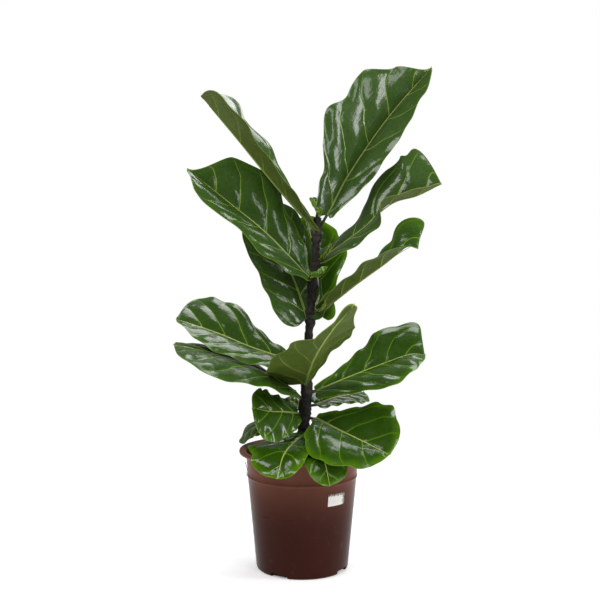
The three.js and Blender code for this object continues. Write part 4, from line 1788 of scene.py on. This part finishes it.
@dataclass
class Label:
    """A small bare paper sticker on the pot's wall, torn along its top and right edges."""

    pot: Pot
    middle_angle: float = -51.4
    width: float = 41.0
    height: float = 23.5
    bottom: float = 145.5
    gap: float = 0.25
    thickness: float = 0.3
    tear: float = 3.2
    grain_height: float = 24.0
    torn_top: Grain = Grain(31, 4.0)
    torn_right: Grain = Grain(32, 5.0)
    columns: int = 64
    rows: int = 40
    finish: PaperFinish = PaperFinish()

    def build(self) -> None:
        """Models, dresses and fixes the sticker."""
        sheet, x, y = Bench.sheet("bare_sticker", self.columns, self.rows)
        border = np.stack([x * self.width, y * self.grain_height, np.zeros_like(x)], axis=-1)
        top = self.tear * np.maximum(self.torn_top.at(border), -0.2) * ease(y, 0.55, 1)
        right = self.tear * np.maximum(self.torn_right.at(border), -0.2) * ease(x, 0.6, 1)
        height = self.bottom + y * self.height - top
        curl = 0.35 * ease(x, 0.86, 1.0) * ease(y, 0.7, 1.0) + 0.12 * ease(y, 0.9, 1.0)
        radius = self.pot.wall_radius(height) + self.gap + self.thickness + curl
        angle = math.radians(self.middle_angle) + (x - 0.5) * self.width / radius - right / radius
        Bench.place(sheet, np.stack([radius * np.cos(angle), radius * np.sin(angle), height], axis=-1))
        Bench.note(sheet, WEAR, np.maximum(ease(x, 0.78, 1.0), ease(y, 0.72, 1.0)))
        Bench.modify(sheet, "SOLIDIFY", thickness=self.thickness * MM, offset=-1)
        Bench.finish(sheet, Slot.LABEL, ["label"], [self.finish.make()])


@dataclass
class Root:
    """A fine dry root that hangs over the collar. Its route is by (angle, radius, height)."""

    radius: float = 0.7
    rings: int = 60
    sides: int = 10
    route: tuple[Point, ...] = (
        (186, 115, 214), (190, 112.4, 203), (188, 112.1, 197), (189, 113, 189), (192, 112.9, 184),
    )
    finish: FibreFinish = FibreFinish()

    def build(self) -> None:
        """Models, dresses and fixes the root."""
        points = [(r * math.cos(math.radians(a)), r * math.sin(math.radians(a)), z) for a, r, z in self.route]
        shares = np.linspace(0, 1, self.rings)
        radii = self.radius * (1 - 0.6 * shares) * (1 + 0.15 * np.sin(shares * 40))
        thread = Bench.tube("dry_root_thread", Path(points), shares, radii, self.sides, SIDEWAYS)
        Bench.finish(thread, Slot.ROOT, ["root_thread"], [self.finish.make()])


# ---------------------------------------------------------------- camera, floor and light


@dataclass(frozen=True)
class Lamp:
    """A rectangular soft box, in metres and watts."""

    name: str
    place: Point
    size: tuple[float, float]
    power: float
    aim: Point = (0, 0, 0.6)

    def hang(self) -> None:
        """Adds the lamp to the scene."""
        data = bpy.data.lights.new(self.name, "AREA")
        data.shape = "RECTANGLE"
        data.size, data.size_y = self.size
        data.energy = self.power
        lamp = bpy.data.objects.new(self.name, data)
        lamp.location = self.place
        lamp.rotation_euler = (Vector(self.aim) - Vector(self.place)).to_track_quat("-Z", "Y").to_euler()
        bpy.context.collection.objects.link(lamp)


@dataclass
class Studio:
    """The camera of the photograph's view, a plain pale floor and soft lights, in metres."""

    lens: float = 60.0
    sensor: float = 36.0
    eye: Point = (-0.0044, -2.0, 0.66)
    pitch: float = 86.58
    sight: float = 60.0
    floor_colour: Colour = (0.9, 0.9, 0.9, 1.0)
    floor_size: float = 6.0
    floor_glow: float = 0.27
    floor_fade: tuple[float, float] = (1.8, 0.7)
    fill: float = 0.48
    shine_front: float = 0.02
    shine_back: float = 0.22
    lamps: tuple[Lamp, ...] = (
        Lamp("key", (-1.2, -1.1, 2.2), (1.3, 1.0), 29),
        Lamp("side", (1.9, -0.5, 1.5), (0.5, 1.5), 24),
        Lamp("front", (1.2, -1.6, 1.5), (0.45, 1.0), 8, (0, 0, 0.7)),
        Lamp("crown", (0.6, 1.15, 2.4), (1.7, 1.1), 25),
    )

    def camera(self) -> None:
        """Sets the camera."""
        data = bpy.data.cameras.new("view")
        data.lens = self.lens
        data.sensor_width = self.sensor
        data.clip_end = self.sight
        camera = bpy.data.objects.new("view", data)
        camera.location = self.eye
        camera.rotation_euler = (math.radians(self.pitch), 0, 0)
        bpy.context.collection.objects.link(camera)
        bpy.context.scene.camera = camera

    def floor(self) -> None:
        """Adds the floor, which fades out away from the pot."""
        floor = Bench.add("pale_floor", bpy.ops.mesh.primitive_plane_add, size=self.floor_size)
        graph = Graph.material("pale_floor")
        here = graph.here()
        reach = graph.vectors("LENGTH", {0: here}, "Value")
        material = graph.surface({
            "Base Color": self.floor_colour, "Roughness": 0.6 + graph.noise(here, 2.0) * 0.1,
            "Alpha": reach.step(*self.floor_fade),
            "Emission Color": self.floor_colour, "Emission Strength": self.floor_glow,
        })
        floor.data.materials.append(material)

    def air(self) -> None:
        """Sets the surroundings: pure white to look at, an even fill light, and dim in glossy surfaces."""
        world = bpy.data.worlds.new("studio")
        bpy.context.scene.world = world
        graph = Graph(world)
        _, depth, _ = graph.split(graph.add("ShaderNodeTexCoord", {}, {}, "Generated"))
        shine = self.shine_front + (self.shine_back - self.shine_front) * depth.step(-0.25, 0.75)
        seen = graph.add("ShaderNodeLightPath", {}, {}, "Is Camera Ray")
        strength = seen + (1 - seen) * (self.fill + (shine - self.fill) * seen.twin("Is Glossy Ray"))
        glow = graph.add("ShaderNodeBackground", {}, {0: (1, 1, 1, 1), 1: strength})
        graph.end("ShaderNodeOutputWorld", glow)

    def build(self) -> None:
        """Sets up the view, the floor and the lights."""
        self.camera()
        self.floor()
        self.air()
        for lamp in self.lamps:
            lamp.hang()
        bpy.context.scene.view_settings.view_transform = "Standard"


def main() -> None:
    """Builds the plant, its pot and the studio."""
    logging.basicConfig(level=logging.INFO, format="%(name)s: %(message)s")
    Studio().build()
    pot = Pot()
    stem = Stem()
    for part in (pot, Soil(pot), Label(pot), Root(), stem, Bud(stem)):
        part.build()
    finishes = (UpperFinish().make(), UnderFinish().make(), StalkFinish().make())
    for seed, form in enumerate(LEAVES, start=100):
        Leaf(form, stem, finishes, seed).build()
    small = {"columns": 48, "rows": 36, "thickness": 0.6, "stalk_radius": 1.3, "solid": False}
    for seed, form in enumerate(LEAFLETS, start=200):
        Leaf(form, stem, finishes, seed, **small).build()


if __name__ == "__main__":
    main()
